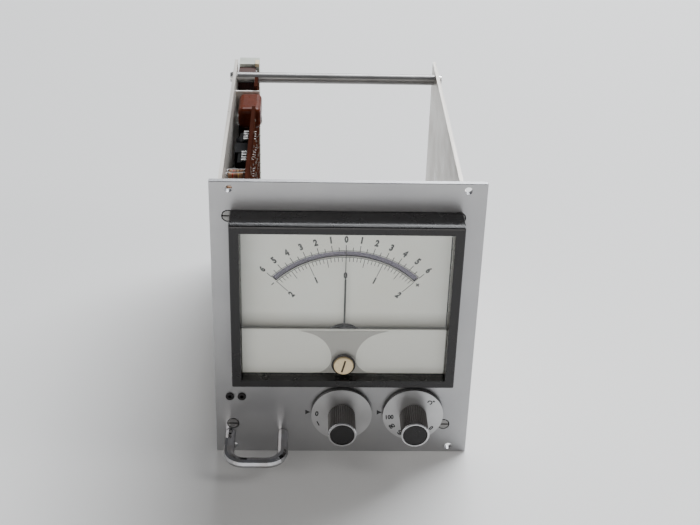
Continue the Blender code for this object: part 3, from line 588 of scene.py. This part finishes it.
def add_text(shape, words, height, centre, turn, weight, narrow=1.0):
    """Raised lettering that faces -Y, of a given digit height, turned about its centre."""
    curve = bpy.data.curves.new("lettering", 'FONT')
    curve.body = words
    curve.offset = weight
    curve.extrude = 0.5
    curve.resolution_u = 3
    holder = add_object("lettering", curve)
    bpy.context.view_layer.update()
    mesh = bpy.data.meshes.new_from_object(
        holder.evaluated_get(bpy.context.evaluated_depsgraph_get()))
    bpy.data.objects.remove(holder, do_unlink=True)
    bpy.data.curves.remove(curve)
    xs, ys = zip(*(vert.co.xy for vert in mesh.vertices))
    scale = height / (max(ys) - min(ys))
    middle = Vector(((max(xs) + min(xs)) / 2, (max(ys) + min(ys)) / 2, -0.5))
    stand = Matrix.Rotation(math.radians(90), 4, 'X')
    letters = bmesh.new()
    letters.from_mesh(mesh)
    bmesh.ops.remove_doubles(letters, verts=letters.verts, dist=0.0001)
    letters.to_mesh(mesh)
    letters.free()
    mesh.transform(Matrix.Translation(centre + INK_PUSH) @ Matrix.Rotation(turn, 4, 'Y') @ stand
                   @ Matrix.Diagonal((scale * narrow, scale, INK_THICK, 1))
                   @ Matrix.Translation(-middle))
    shape.from_mesh(mesh)
    bpy.data.meshes.remove(mesh)


# ---- dial

SCALE_HALF = math.radians(45)
RING_R = 40.8 * MM           # outer edge of the mirror slot
INNER_R = 38.06 * MM         # printed arc just inside the slot
LINE = 0.3 * MM              # width of a fine printed line
OUTER_NUMBERS = 3.1, 46.0    # digit height and radius, mm
INNER_NUMBERS = 3.0, 29.9


def on_dial(radius, angle, depth):
    """A point on the dial, angle clockwise from the top as seen from the front."""
    return Vector((PIVOT.x + radius * math.sin(angle), depth, PIVOT.z + radius * math.cos(angle)))


def add_tick(shape, angle, inner, outer, width, depth):
    across = Vector((math.cos(angle), 0, -math.sin(angle))) * width / 2
    low, high = on_dial(inner, angle, depth), on_dial(outer, angle, depth)
    add_plate(shape, (low - across, low + across, high + across, high - across), INK_PUSH)


def add_arc_line(shape, radius, width, depth):
    """A printed arc as long as the scale."""
    angles = [SCALE_HALF * (step / 30 - 1) for step in range(61)]
    outline = [on_dial(radius - width / 2, angle, depth) for angle in angles]
    outline += [on_dial(radius + width / 2, angle, depth) for angle in reversed(angles)]
    add_plate(shape, outline, INK_PUSH)


def dial_print():
    """Outer scale 6-0-6, fine inner scale 2-0-2, and the signs at their ends."""
    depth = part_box("dial_plate")[0].y - INK_THICK

    def build(shape):
        def number(value, angle, height, radius):
            add_text(shape, str(abs(value)), height * MM, on_dial(radius * MM, angle, depth),
                     angle, 0.06, 0.76)

        for half in range(-12, 13):
            angle = SCALE_HALF * half / 12
            tip = 42.5 if half % 2 else 43.5
            add_tick(shape, angle, RING_R + 0.05 * MM, tip * MM, LINE, depth)
            if half % 2 == 0:
                number(half // 2, angle, *OUTER_NUMBERS)
        add_arc_line(shape, INNER_R, LINE, depth)
        add_arc_line(shape, RING_R + 0.3 * MM, 0.25 * MM, depth)
        for tenth in range(-20, 21):
            angle = SCALE_HALF * tenth / 20
            length = 6.2 if tenth % 10 == 0 else 4.0 if tenth % 5 == 0 else 2.0
            add_tick(shape, angle, INNER_R - length * MM, INNER_R, LINE * 0.85, depth)
            if tenth % 10 == 0:
                number(tenth // 10, angle, *INNER_NUMBERS)
        for side, sign, height in ((-1, "−", 0.42), (1, "+", 1.7)):
            angle = side * math.radians(47.8)
            add_text(shape, sign, height * MM, on_dial(38.4 * MM, angle, depth), angle, 0.04)
    piece("dial_print", [BLACK_INK], build)


def window_collar():
    """The dark gasket in the window round the zero screw."""
    front, back = (corner.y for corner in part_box("meter_window"))
    deep = (back - front) / MM
    profile = [(4.1, -0.05), (4.45, -0.25), (4.85, -0.05), (4.85, 0), (4.24, 0), (4.24, deep),
               (4.1, deep)]

    def build(shape):
        add_turned(shape, profile, Vector((ZERO_AXIS.x, front, ZERO_AXIS.z)), BACKWARD, 40,
                   ring=True)
    piece("window_collar", [MATERIALS["dark_enamel"]], build)


# ---- controls

def disc_print(side, marks):
    """Numbers on a knob's skirt disc, each upright when it stands at the panel's arrow.

    A mark is its words, angle from +X towards +Z in degrees, radius in mm and height in mm.
    """
    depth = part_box("knob_disc_" + side)[0].y - INK_THICK

    def build(shape):
        for words, degrees, radius, height in marks:
            add_text(shape, words, height * MM, around(KNOB_AXIS[side], radius, degrees, depth),
                     math.radians(180 - degrees), 0.05, 0.86)
    piece("disc_print_" + side, [BLACK_INK], build, KNOB_BODY[side])


def panel_print():
    """The arrows beside the two discs."""
    level = KNOB_AXIS["left"].z / MM - 0.4

    def build(shape):
        for x in (-14.6, 15.5):
            outline = [at(x + dx, 0, level + dz) - INK_PUSH
                       for dx, dz in ((-1.1, -1.2), (1.1, 0), (-1.1, 1.2))]
            add_plate(shape, outline, INK_PUSH)
    piece("panel_arrows", [BLACK_INK], build)


# ---- circuit board

BOARD_LOW, BOARD_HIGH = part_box("circuit_board")
PART_FACE = BOARD_LOW.x       # component side, towards the left plate
SOLDER_FACE = BOARD_HIGH.x
COPPER = INWARD * 0.07 * MM   # thickness of the copper
LANES, LANE_PITCH = 20, 4.9 * MM
SPACERS = [middle_of(name) for name in frame["nodes"] if name.startswith("board_spacer")]
BOARD_HOLES = SPACERS + [middle_of("tie_rod_lower"), middle_of("tie_rod_upper")]
NOTCH_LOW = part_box("film_capacitor")[0]
NOTCH_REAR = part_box("capacitor_bracket")[1].y


def board_free(y, z, margin=1.2 * MM):
    """True where the board is solid and clear of its holes, notch and edges."""
    inside = (BOARD_LOW.y + margin < y < BOARD_HIGH.y - margin
              and BOARD_LOW.z + margin < z < BOARD_HIGH.z - margin)
    in_notch = (NOTCH_LOW.y - 1.5 * MM - margin < y < NOTCH_REAR + 0.9 * MM + margin
                and z > NOTCH_LOW.z - 0.3 * MM - margin)
    clear = all(math.hypot(y - hole.y, z - hole.z) > 3.2 * MM + margin for hole in BOARD_HOLES)
    return inside and clear and not in_notch


def on_board(y, z):
    return Vector((SOLDER_FACE, y, z))


def add_trace(shape, start, end):
    half = 0.55 * MM
    across = (end - start).normalized().cross(INWARD) * half
    add_plate(shape, (start - across, end - across, end + across, start + across), COPPER)
    for point in (start, end):
        add_plate(shape, ring_points(point, INWARD, half, 8), COPPER)


def trace_runs(chance):
    """Random but repeatable copper runs in lanes along the board, each a list of its corners."""
    runs = []
    for lane in range(LANES):
        z = BOARD_LOW.z + 3.4 * MM + LANE_PITCH * lane
        y = BOARD_LOW.y + chance.uniform(3, 8) * MM
        while y < BOARD_HIGH.y - 15 * MM:
            length = chance.uniform(6, 24) * MM
            shift = chance.choice((-1, 0, 0, 1)) * 2.45 * MM
            bend = y + length * chance.uniform(0.35, 0.6)
            end = y + length + 2.5 * MM
            if all(board_free(y + (end - y) * part / 8, place)
                   for part in range(9) for place in (z, z + shift)):
                run = ((y, z), (bend, z), (bend + abs(shift), z + shift), (end, z + shift))
                runs.append([on_board(*point) for point in run])
            y += length + chance.uniform(5, 8) * MM
    for contact in range(18):
        z = BOARD_LOW.z + 6.0 * MM + 2 * GRID * contact
        rear = BOARD_HIGH.y - 2.0 * MM
        reach = chance.uniform(7, 11) * MM
        if board_free(rear, z, 0.9 * MM) and board_free(rear - reach, z):
            runs.append([on_board(rear, z), on_board(rear - reach, z)])
    return runs


def solder_side():
    runs = trace_runs(random.Random(41))
    ends = [point for run in runs for point in (run[0], run[-1])]
    dome = [(0, 0), (0.75, 0), (0.6, 0.12), (0.36, 0.25), (0.26, 0.36), (0.22, 0.46), (0, 0.5)]

    def copper(shape):
        for run in runs:
            for start, end in zip(run, run[1:]):
                if (end - start).length > 0.01 * MM:
                    add_trace(shape, start, end)
        for point in ends:
            add_plate(shape, ring_points(point, INWARD, 1.25 * MM, 14), COPPER)

    def joints(shape):
        for point in ends:
            add_turned(shape, dome, point + COPPER, INWARD, 10)
    piece("board_traces", [TRACE], copper)
    piece("solder_joints", [FLUXED], joints)


def part_point(height, y, z):
    """A point over the component side, from a height and a place in mm."""
    return Vector((PART_FACE - height * MM, PANEL_FRONT + y * MM, z * MM))


RESISTOR = [(0, -3.2), (0.85, -3.2), (1.2, -2.8), (1.25, -2.2), (1.05, -1.7), (1.05, 1.7),
            (1.25, 2.2), (1.2, 2.8), (0.85, 3.2), (0, 3.2)]


def add_resistor(shape, centre, axis, leads, chance):
    """Body, four colour bands and the two lead wires of an axial resistor."""
    add_turned(shape, RESISTOR, centre, axis, 14)
    for place in (-1.2, -0.5, 0.2, 1.2):
        low, high = place - 0.17, place + 0.17
        add_turned(shape, [(0.9, low), (1.09, low), (1.09, high), (0.9, high)], centre, axis, 14,
                   chance.randint(1, 4), ring=True)
    for lead in leads:
        add_path(shape, curved(lead, 4), 0.3, 5, 6)


def lying_resistor(shape, y, z, upright, chance):
    """A resistor flat on the board, its axis along Z when upright and along Y otherwise."""
    axis = Vector((0, 0, 1)) if upright else BACKWARD
    course = ((1.5, 3.1), (1.5, 4.3), (0.9, 5.0), (-0.4, 5.0))
    leads = [[part_point(height, y, z) + axis * side * out * MM for height, out in course]
             for side in (-1, 1)]
    add_resistor(shape, part_point(1.5, y, z), axis, leads, chance)


def standing_resistor(shape, y, z, chance):
    """A resistor on end, its upper lead folded back beside it."""
    lower = ((1.1, 0), (-0.5, 0))
    upper = ((7.3, 0), (8.2, 0.6), (8.2, 2.1), (6.7, 2.7), (-0.5, 2.7))
    leads = [[part_point(height, y + out, z) for height, out in course]
             for course in (lower, upper)]
    add_resistor(shape, part_point(4.2, y, z), OUTWARD, leads, chance)


def resistors():
    bands = [lacquer("band_" + name, colour, scaled(colour, 1.3))
             for name, colour in (("brown", (0.10, 0.03, 0.015)), ("red", (0.42, 0.02, 0.015)),
                                  ("violet", (0.16, 0.05, 0.24)), ("gold", (0.40, 0.27, 0.07)))]
    body = lacquer("resistor_body", (0.26, 0.13, 0.075), (0.34, 0.19, 0.11))

    def build(shape):
        chance = random.Random(7)
        for step in range(6):
            standing_resistor(shape, 13 + 7.6 * step, 109.5 - (step % 2) * 2.2, chance)
        for row in range(5):
            for column in range(11):
                y, z = 16 + 11.5 * column, 30 + 13.0 * row
                if chance.random() < 0.62 and board_free(PANEL_FRONT + y * MM, z * MM, 6.5 * MM):
                    lying_resistor(shape, y, z, chance.random() < 0.45, chance)
    piece("resistors", [body, *bands, SOLDER], build)


def disc_capacitors():
    """Dipped ceramic discs that stand on edge on two wires."""
    body = lacquer("ceramic_disc", (0.42, 0.20, 0.06), (0.55, 0.29, 0.10))
    disc = [(0, -0.75), (1.8, -0.7), (2.5, -0.35), (2.6, 0), (2.5, 0.35), (1.8, 0.7), (0, 0.75)]

    def build(shape):
        for y, z in ((70, 88), (96, 88), (114, 90), (62, 36.5), (85, 62.5), (120, 49.5),
                     (39, 75.5)):
            add_turned(shape, disc, part_point(4.0, y, z), BACKWARD, 18)
            for side in (-1, 1):
                add_path(shape, [part_point(height, y, z + side * out)
                                 for height, out in ((2.8, 1.1), (1.3, 1.27), (-0.5, 1.27))],
                         0.28, 1, 6)
    piece("disc_capacitors", [body, STEEL], build)


def transistors():
    """Half-round transistors on three straight leads, their flat side down."""
    def build(shape):
        for y, z in ((100, 98), (54, 69), (108, 69), (76, 43), (31, 56.5)):
            centre = part_point(2.6, y, z)
            rim = [point for point in ring_points(centre, OUTWARD, 2.35 * MM, 24)
                   if point.z > centre.z - 1.3 * MM]
            rim.sort(key=lambda point: (math.atan2(point.z - centre.z, point.y - centre.y)
                                        + math.pi / 2) % math.tau)
            add_plate(shape, rim, OUTWARD * 4.4 * MM)
            for lead in (-1, 0, 1):
                start = centre + BACKWARD * lead * GRID / 2
                add_path(shape, [start + OUTWARD * 0.2 * MM, start + INWARD * 3.1 * MM], 0.25, 1, 6)
    piece("transistors", [CHIP_BLACK, STEEL], build)


def dil_chip(name):
    """A moulded chip with four flat legs down each side, in place of its plain CAD block."""
    low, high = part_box(name)
    back, middle = low.x + 3.6 * MM, low.x + 1.8 * MM
    bottom, top = low.z + 1.0 * MM, high.z - 1.0 * MM
    half_leaf = 0.12 * MM        # half the thickness of the leg metal
    shoulder = PART_FACE - 1.2 * MM

    def build(shape):
        add_loft(shape, [[Vector((x, y, z)) for y, z in
                          ((low.y + draw, bottom + draw), (high.y - draw, bottom + draw),
                           (high.y - draw, top - draw), (low.y + draw, top - draw))]
                         for x, draw in ((low.x, 0.35 * MM), (middle - half_leaf, 0),
                                         (middle + half_leaf, 0), (back, 0.3 * MM))])
        for count in range(4):
            y = low.y + 1.09 * MM + GRID * count
            for side, root, outer in ((-1, bottom, low.z), (1, top, high.z)):
                skin = outer - side * 0.25 * MM
                for start, end, half, inner in (
                        (middle - half_leaf, middle + half_leaf, 0.7 * MM, root),
                        (middle + half_leaf, shoulder, 0.7 * MM, skin),
                        (shoulder, SOLDER_FACE + 0.7 * MM, 0.26 * MM, skin)):
                    add_box(shape, (start, y - half, inner), (end, y + half, outer), 1)
    piece(name + "_detail", [CHIP_BLACK, STEEL], build, replaces=name)


def electrolytic(name):
    """An axial can with a crimped groove, bare ends and bent leads."""
    low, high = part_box(name)
    start = Vector((middle_of(name).x, low.y, middle_of(name).z))
    length = (high.y - low.y) / MM
    sleeve = [(0, 0.2), (3.3, 0.2), (3.4, 0), (4.0, 0.3), (4.2, 0.8), (4.2, 2.4), (3.7, 2.9),
              (4.2, 3.4), (4.2, length - 0.6), (3.9, length - 0.1), (3.3, length),
              (3.2, length - 0.2), (0, length - 0.2)]

    def build(shape):
        add_turned(shape, sleeve, start, BACKWARD, 28)
        for end, side in ((start, -1), (start + BACKWARD * length * MM, 1)):
            out = BACKWARD * side * MM
            tip = end + out * 2.6
            add_rod(shape, end - out * 0.05, BACKWARD * -side, 3.1, 0.4, 24, 1)
            lead = (end - out * 0.3, end + out * 1.6, tip + INWARD * 1.2 * MM,
                    Vector((PART_FACE + 0.5 * MM, tip.y, tip.z)))
            add_path(shape, curved(lead, 5), 0.4, 1)
    piece(name + "_detail", [MATERIALS["capacitor_sleeve"], STEEL], build,
          replaces=name)


def connector_details():
    """Gold-plated blades along both sides of the contact tongue, and the shell's end tab."""
    body_low, body_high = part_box("connector_body")
    shell_low, shell_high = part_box("connector_shell")
    faces = ((body_low.x + 2.4 * MM, -1), (body_high.x - 2.4 * MM, 1))
    blade = ((0.05, 0.5), (0.55, 2.2), (0.3, 5.4), (0.05, 6.6), (-0.1, 6.6), (-0.1, 0.5))

    def contacts(shape):
        for contact in range(17):
            z = body_low.z + 5.3 * MM + 2 * GRID * contact
            for x, side in faces:
                outline = [Vector((x + side * out * MM, shell_low.y + deep * MM, z))
                           for out, deep in blade]
                add_plate(shape, outline, Vector((0, 0, 1.8 * MM)))
    piece("connector_contacts", [GOLD], contacts)

    def tab(shape):
        front, middle, top = shell_low.y, (shell_low.y + shell_high.y) / 2, shell_high.z
        outline = ((front - 0.8 * MM, top + 0.5 * MM), (middle, top + 0.5 * MM), (middle, top),
                   (front, top), (front, top - 1.3 * MM), (front - 0.8 * MM, top - 1.3 * MM))
        add_plate(shape, [Vector((shell_high.x - 2.0 * MM, y, z)) for y, z in outline],
                  INWARD * 1.9 * MM)
    piece("connector_tab", [MATERIALS["cream_plastic"]], tab)


def chassis_screws():
    """Screw heads of the board spacers and the connector, on the plate and on the board."""
    plate_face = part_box("side_plate_left")[0].x
    chance = random.Random(3)

    def build(shape):
        for spacer in SPACERS:
            add_screw_head(shape, Vector((plate_face, spacer.y, spacer.z)), OUTWARD, 2.4, 1.15,
                           chance.uniform(0, 3))
            seat = on_board(spacer.y, spacer.z)
            add_rod(shape, seat, INWARD, 3.0, 0.4, 28, 0, 0.08)
            add_screw_head(shape, seat + INWARD * 0.4 * MM, INWARD, 2.4, 1.5,
                           chance.uniform(0, 3))
        low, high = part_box("connector_body")
        for z in (low.z + 4 * MM, high.z - 3.5 * MM):
            add_screw_head(shape, Vector((plate_face, low.y + 4.5 * MM, z)), OUTWARD, 1.8, 1.0,
                           chance.uniform(0, 3))
    piece("chassis_screw_heads", [STEEL], build)


# ---- behind the panel

def add_lug(shape, root, tip, width, thick, index):
    """A flat solder lug in a plane across Y, with a round tip."""
    along = (tip - root).normalized() * width / 2 * MM
    across = along.cross(BACKWARD)
    angles = [math.radians(degrees) for degrees in (-60, -30, 0, 30, 60)]
    outline = [root - across, tip - across, *arc_points(tip, along, across, 1, angles),
               tip + across, root + across]
    add_plate(shape, outline, BACKWARD * thick * MM, index)


METER_BACK = behind(Vector((PIVOT.x, 0, middle_of("meter_case").z)), "meter_case")
TERMINAL_X = (-11.0, 11.0)


def meter_back():
    def moulded(shape):
        add_turned(shape, [(19.4, -0.1), (21.6, -0.1), (21.3, 0.6), (19.8, 0.6)], METER_BACK,
                   BACKWARD, 48, ring=True)
        add_turned(shape, [(0, -0.1), (5.2, -0.1), (4.9, 0.9), (2.4, 0.9), (2.1, 0.5), (0, 0.5)],
                   METER_BACK, BACKWARD, 32)
        for x in TERMINAL_X:
            add_turned(shape, [(0, -0.1), (4.9, -0.1), (4.5, 1.2), (0, 1.2)],
                       METER_BACK + Vector((x * MM, 0, 0)), BACKWARD, 28)
    piece("meter_case_back", [MATERIALS["black_plastic"]], moulded)

    def terminals(shape):
        for x in TERMINAL_X:
            seat = METER_BACK + Vector((x * MM, 1.2 * MM, 0))
            add_rod(shape, seat, BACKWARD, 1.5, 6.2, 20, 1, 0.25)
            add_rod(shape, seat, BACKWARD, 3.6, 0.5, 28)
            root = seat + BACKWARD * 0.5 * MM
            add_lug(shape, root, root + Vector((0, 0, -7.5 * MM)), 2.4, 0.4, 0)
            for level in (0.9, 3.2):
                add_turned(shape, [(0, level), (2.7, level), (3.1, level + 0.3), (3.1, level + 1.7),
                                   (2.7, level + 2.0), (0, level + 2.0)], seat, BACKWARD, 6, 1)
    piece("meter_terminals", [STEEL, GOLD], terminals)


POT_LUGS = (-5.0, 0.0, 5.0)


def potentiometer_back():
    centre = behind(KNOB_AXIS["right"], "potentiometer")
    front = centre.y - 5.2 * MM
    lug_depth = front + 1.3 * MM

    def build(shape):
        add_turned(shape, [(0, -0.1), (8.8, -0.1), (8.3, 0.5), (3.0, 0.5), (2.6, 0.2), (0, 0.2)],
                   centre, BACKWARD, 36)
        for degrees in (45, 135, 225, 315):
            root, tip = (around(centre, radius, degrees, centre.y - 0.1 * MM)
                         for radius in (10.6, 9.3))
            add_lug(shape, root, tip, 2.4, 0.5, 0)
        add_box(shape, (centre.x - 7 * MM, front, centre.z - 13.6 * MM),
                (centre.x + 7 * MM, lug_depth, centre.z - 8.5 * MM), 1)
        for x in POT_LUGS:
            root, tip = (Vector((centre.x + x * MM, lug_depth, centre.z - down * MM))
                         for down in (11.6, 16.6))
            add_lug(shape, root, tip, 1.9, 0.4, 2)
    piece("potentiometer_back", [STEEL, PHENOLIC, SOLDER], build)


def switch_wafer():
    """The contact wafer behind the rotary switch, with its rotor, lugs and tie screws."""
    centre = behind(KNOB_AXIS["left"], "rotary_switch")
    depth = centre.y + 2.2 * MM

    def build(shape):
        add_turned(shape, [(4.9, 0.9), (13.2, 0.9), (13.2, 2.2), (4.9, 2.2)], centre, BACKWARD, 40,
                   ring=True)
        add_turned(shape, [(0, 0.5), (4.6, 0.5), (4.6, 2.6), (3.4, 2.6), (3.4, 2.0), (0, 2.0)],
                   centre, BACKWARD, 32, 1)
        for degrees in range(15, 360, 30):
            root, tip = (around(centre, radius, degrees, depth) for radius in (9.6, 14.6))
            add_lug(shape, root, tip, 1.5, 0.35, 2)
            add_rod(shape, around(centre, 10.8, degrees, depth + 0.3 * MM), BACKWARD, 0.7, 0.5, 10,
                    2)
        for degrees in (0, 180):
            place = around(centre, 7.4, degrees, centre.y)
            add_rod(shape, place, BACKWARD, 0.9, 4.6, 12, 2)
            add_turned(shape, [(0, 2.2), (1.8, 2.2), (2.0, 2.4), (2.0, 3.6), (1.8, 3.8), (0, 3.8)],
                       place, BACKWARD, 6, 2)
    piece("switch_wafer", [PHENOLIC, MATERIALS["cream_plastic"], SOLDER], build)


def wiring():
    """Hook-up wires from the controls, meter and sockets to the board's front edge."""
    colours = {"red": (0.50, 0.025, 0.02), "yellow": (0.62, 0.42, 0.04),
               "blue": (0.03, 0.08, 0.36), "white": (0.62, 0.60, 0.55),
               "green": (0.03, 0.20, 0.06), "black": (0.02, 0.02, 0.02)}
    insulation = [moulding("wire_" + name, colour, 0.38, texture=0.8 * MM)
                  for name, colour in colours.items()]
    bare = len(insulation)
    left, right = KNOB_AXIS["left"], behind(KNOB_AXIS["right"], "potentiometer")
    lug_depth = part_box("rotary_switch")[1].y + 2.6 * MM

    def build(shape):
        runs = []
        for count, degrees in enumerate((165, 135, 105, 195)):
            runs.append((around(left, 15.2, degrees, lug_depth),
                         around(left, 18.5, degrees, lug_depth + 2 * MM),
                         at(-24, 22 + count, 33 + 1.3 * count), at(-34, 18, 34 + 2 * count)))
        for count, x in enumerate(POT_LUGS):
            lug = right + Vector((x, -3.6, -16.8)) * MM
            runs.append((lug, lug + Vector((-1, 5, -0.5)) * MM,
                         at(12, 22 + count, 5.5 + count), at(-10, 24 + count, 7.5 + 1.3 * count),
                         at(-28, 20, 24 + 2 * count)))
        for x in TERMINAL_X:
            lug = METER_BACK + Vector((x, 2.0, -8.2)) * MM
            runs.append((lug, lug + Vector((-1.5, 2.5, -6)) * MM,
                         at(-22, 29 + x / 8, 48 + x / 8), at(-33, 21, 48 + x / 8)))
        for index, run in enumerate(runs):
            end = at(SOLDER_FACE / MM, 13 + 2.2 * (index % 2), 28 + 3.0 * index)
            path = curved([*run, end + INWARD * 3.2 * MM, end + INWARD * 0.4 * MM])
            add_path(shape, path, 0.62, index % bare)
            add_turned(shape, [(0, 0), (1.1, 0), (0.9, 0.3), (0.45, 0.9), (0, 1.0)], end, INWARD,
                       12, bare)
        for name, z, colour in (("test_socket_left", 37, 0), ("test_socket_right", 22, 5)):
            start = behind(middle_of(name), name) - BACKWARD * 0.4 * MM
            path = curved([start, start + BACKWARD * 3 * MM, part_point(2.6, 13, (z + 29) / 2),
                           part_point(1.8, 15, z), part_point(-0.4, 15.6, z)])
            add_path(shape, path, 0.6, colour)
            add_rod(shape, start, BACKWARD, 1.2, 1.0, 14, bare)
    piece("hook_up_wires", [*insulation, SOLDER], build)


# ---- stage

def floor_and_lights():
    paper = Surface("studio_floor")
    paper.set("Base Color", (0.76, 0.76, 0.75, 1))
    paper.set("Roughness", 0.65)
    paper.bump(paper.noise(1.5 * MM), 0.04, 0.02 * MM)
    # A faint glow that grows with distance keeps the background pale in low views.
    away = paper.distance(Vector(), 'XY')
    paper.set("Emission Color", (0.96, 0.98, 1.0, 1))
    paper.set("Emission Strength", paper.remap(away, 0.9, 4.5, 0.0, 0.42))
    shape = bmesh.new()
    bmesh.ops.create_grid(shape, x_segments=1, y_segments=1, size=12.0)
    floor = add_mesh("studio_floor", shape, [paper.material])

    world = bpy.data.worlds.new("studio")
    bpy.context.scene.world = world
    world.use_nodes = True
    sky = world.node_tree.nodes["Background"].inputs
    sky["Color"].default_value = (0.86, 0.88, 0.92, 1)
    sky["Strength"].default_value = 0.16

    add_light("window_light", (0.95, 1.7, 2.25), (0, 0, 0.05), (2.4, 1.6), 194, (0.95, 0.97, 1.0))
    add_light("front_fill", (-0.25, -0.85, 0.2), (0, -0.05, 0.06), (1.4, 0.3), 4.8,
              (1.0, 0.97, 0.94))
    add_light("side_strip", (0.65, -0.2, 0.45), (0.03, -0.09, 0.02), (0.2, 0.5), 1.5,
              (1.0, 0.98, 0.96))


def add_light(name, place, target, size, power, colour):
    lamp = bpy.data.lights.new(name, 'AREA')
    lamp.shape = 'RECTANGLE'
    lamp.size, lamp.size_y = size
    lamp.energy = power
    lamp.color = colour
    made = add_object(name, lamp)
    made.location = place
    aim = Vector(target) - Vector(place)
    made.rotation_euler = aim.to_track_quat('-Z', 'Y').to_euler()


def camera():
    lens = bpy.data.cameras.new("camera")
    lens.lens = 64.8
    lens.sensor_width = 36
    made = add_object("camera", lens)
    made.location = at(-16.33, -427.17, 341.08)
    made.rotation_euler = [math.radians(degrees) for degrees in (59.92, -1.48, -1.50)]
    bpy.context.scene.camera = made


camera()
dress_cad_nodes()
dial_print()
window_collar()
disc_print("left", (("0", 176, 10.4, 2.6), ("1", 204, 10.7, 2.4)))
disc_print("right", (("100", 185, 9.8, 2.3),
                     *((str(80 - 20 * step), 213 + 27 * step, 10.3, 2.3) for step in range(5)),
                     ("°C", 44.5, 10.2, 2.4)))
panel_print()
solder_side()
resistors()
disc_capacitors()
transistors()
for chip in ("chip_1", "chip_2"):
    dil_chip(chip)
for can in ("electrolytic_1", "electrolytic_2"):
    electrolytic(can)
connector_details()
chassis_screws()
meter_back()
potentiometer_back()
switch_wafer()
wiring()
floor_and_lights()
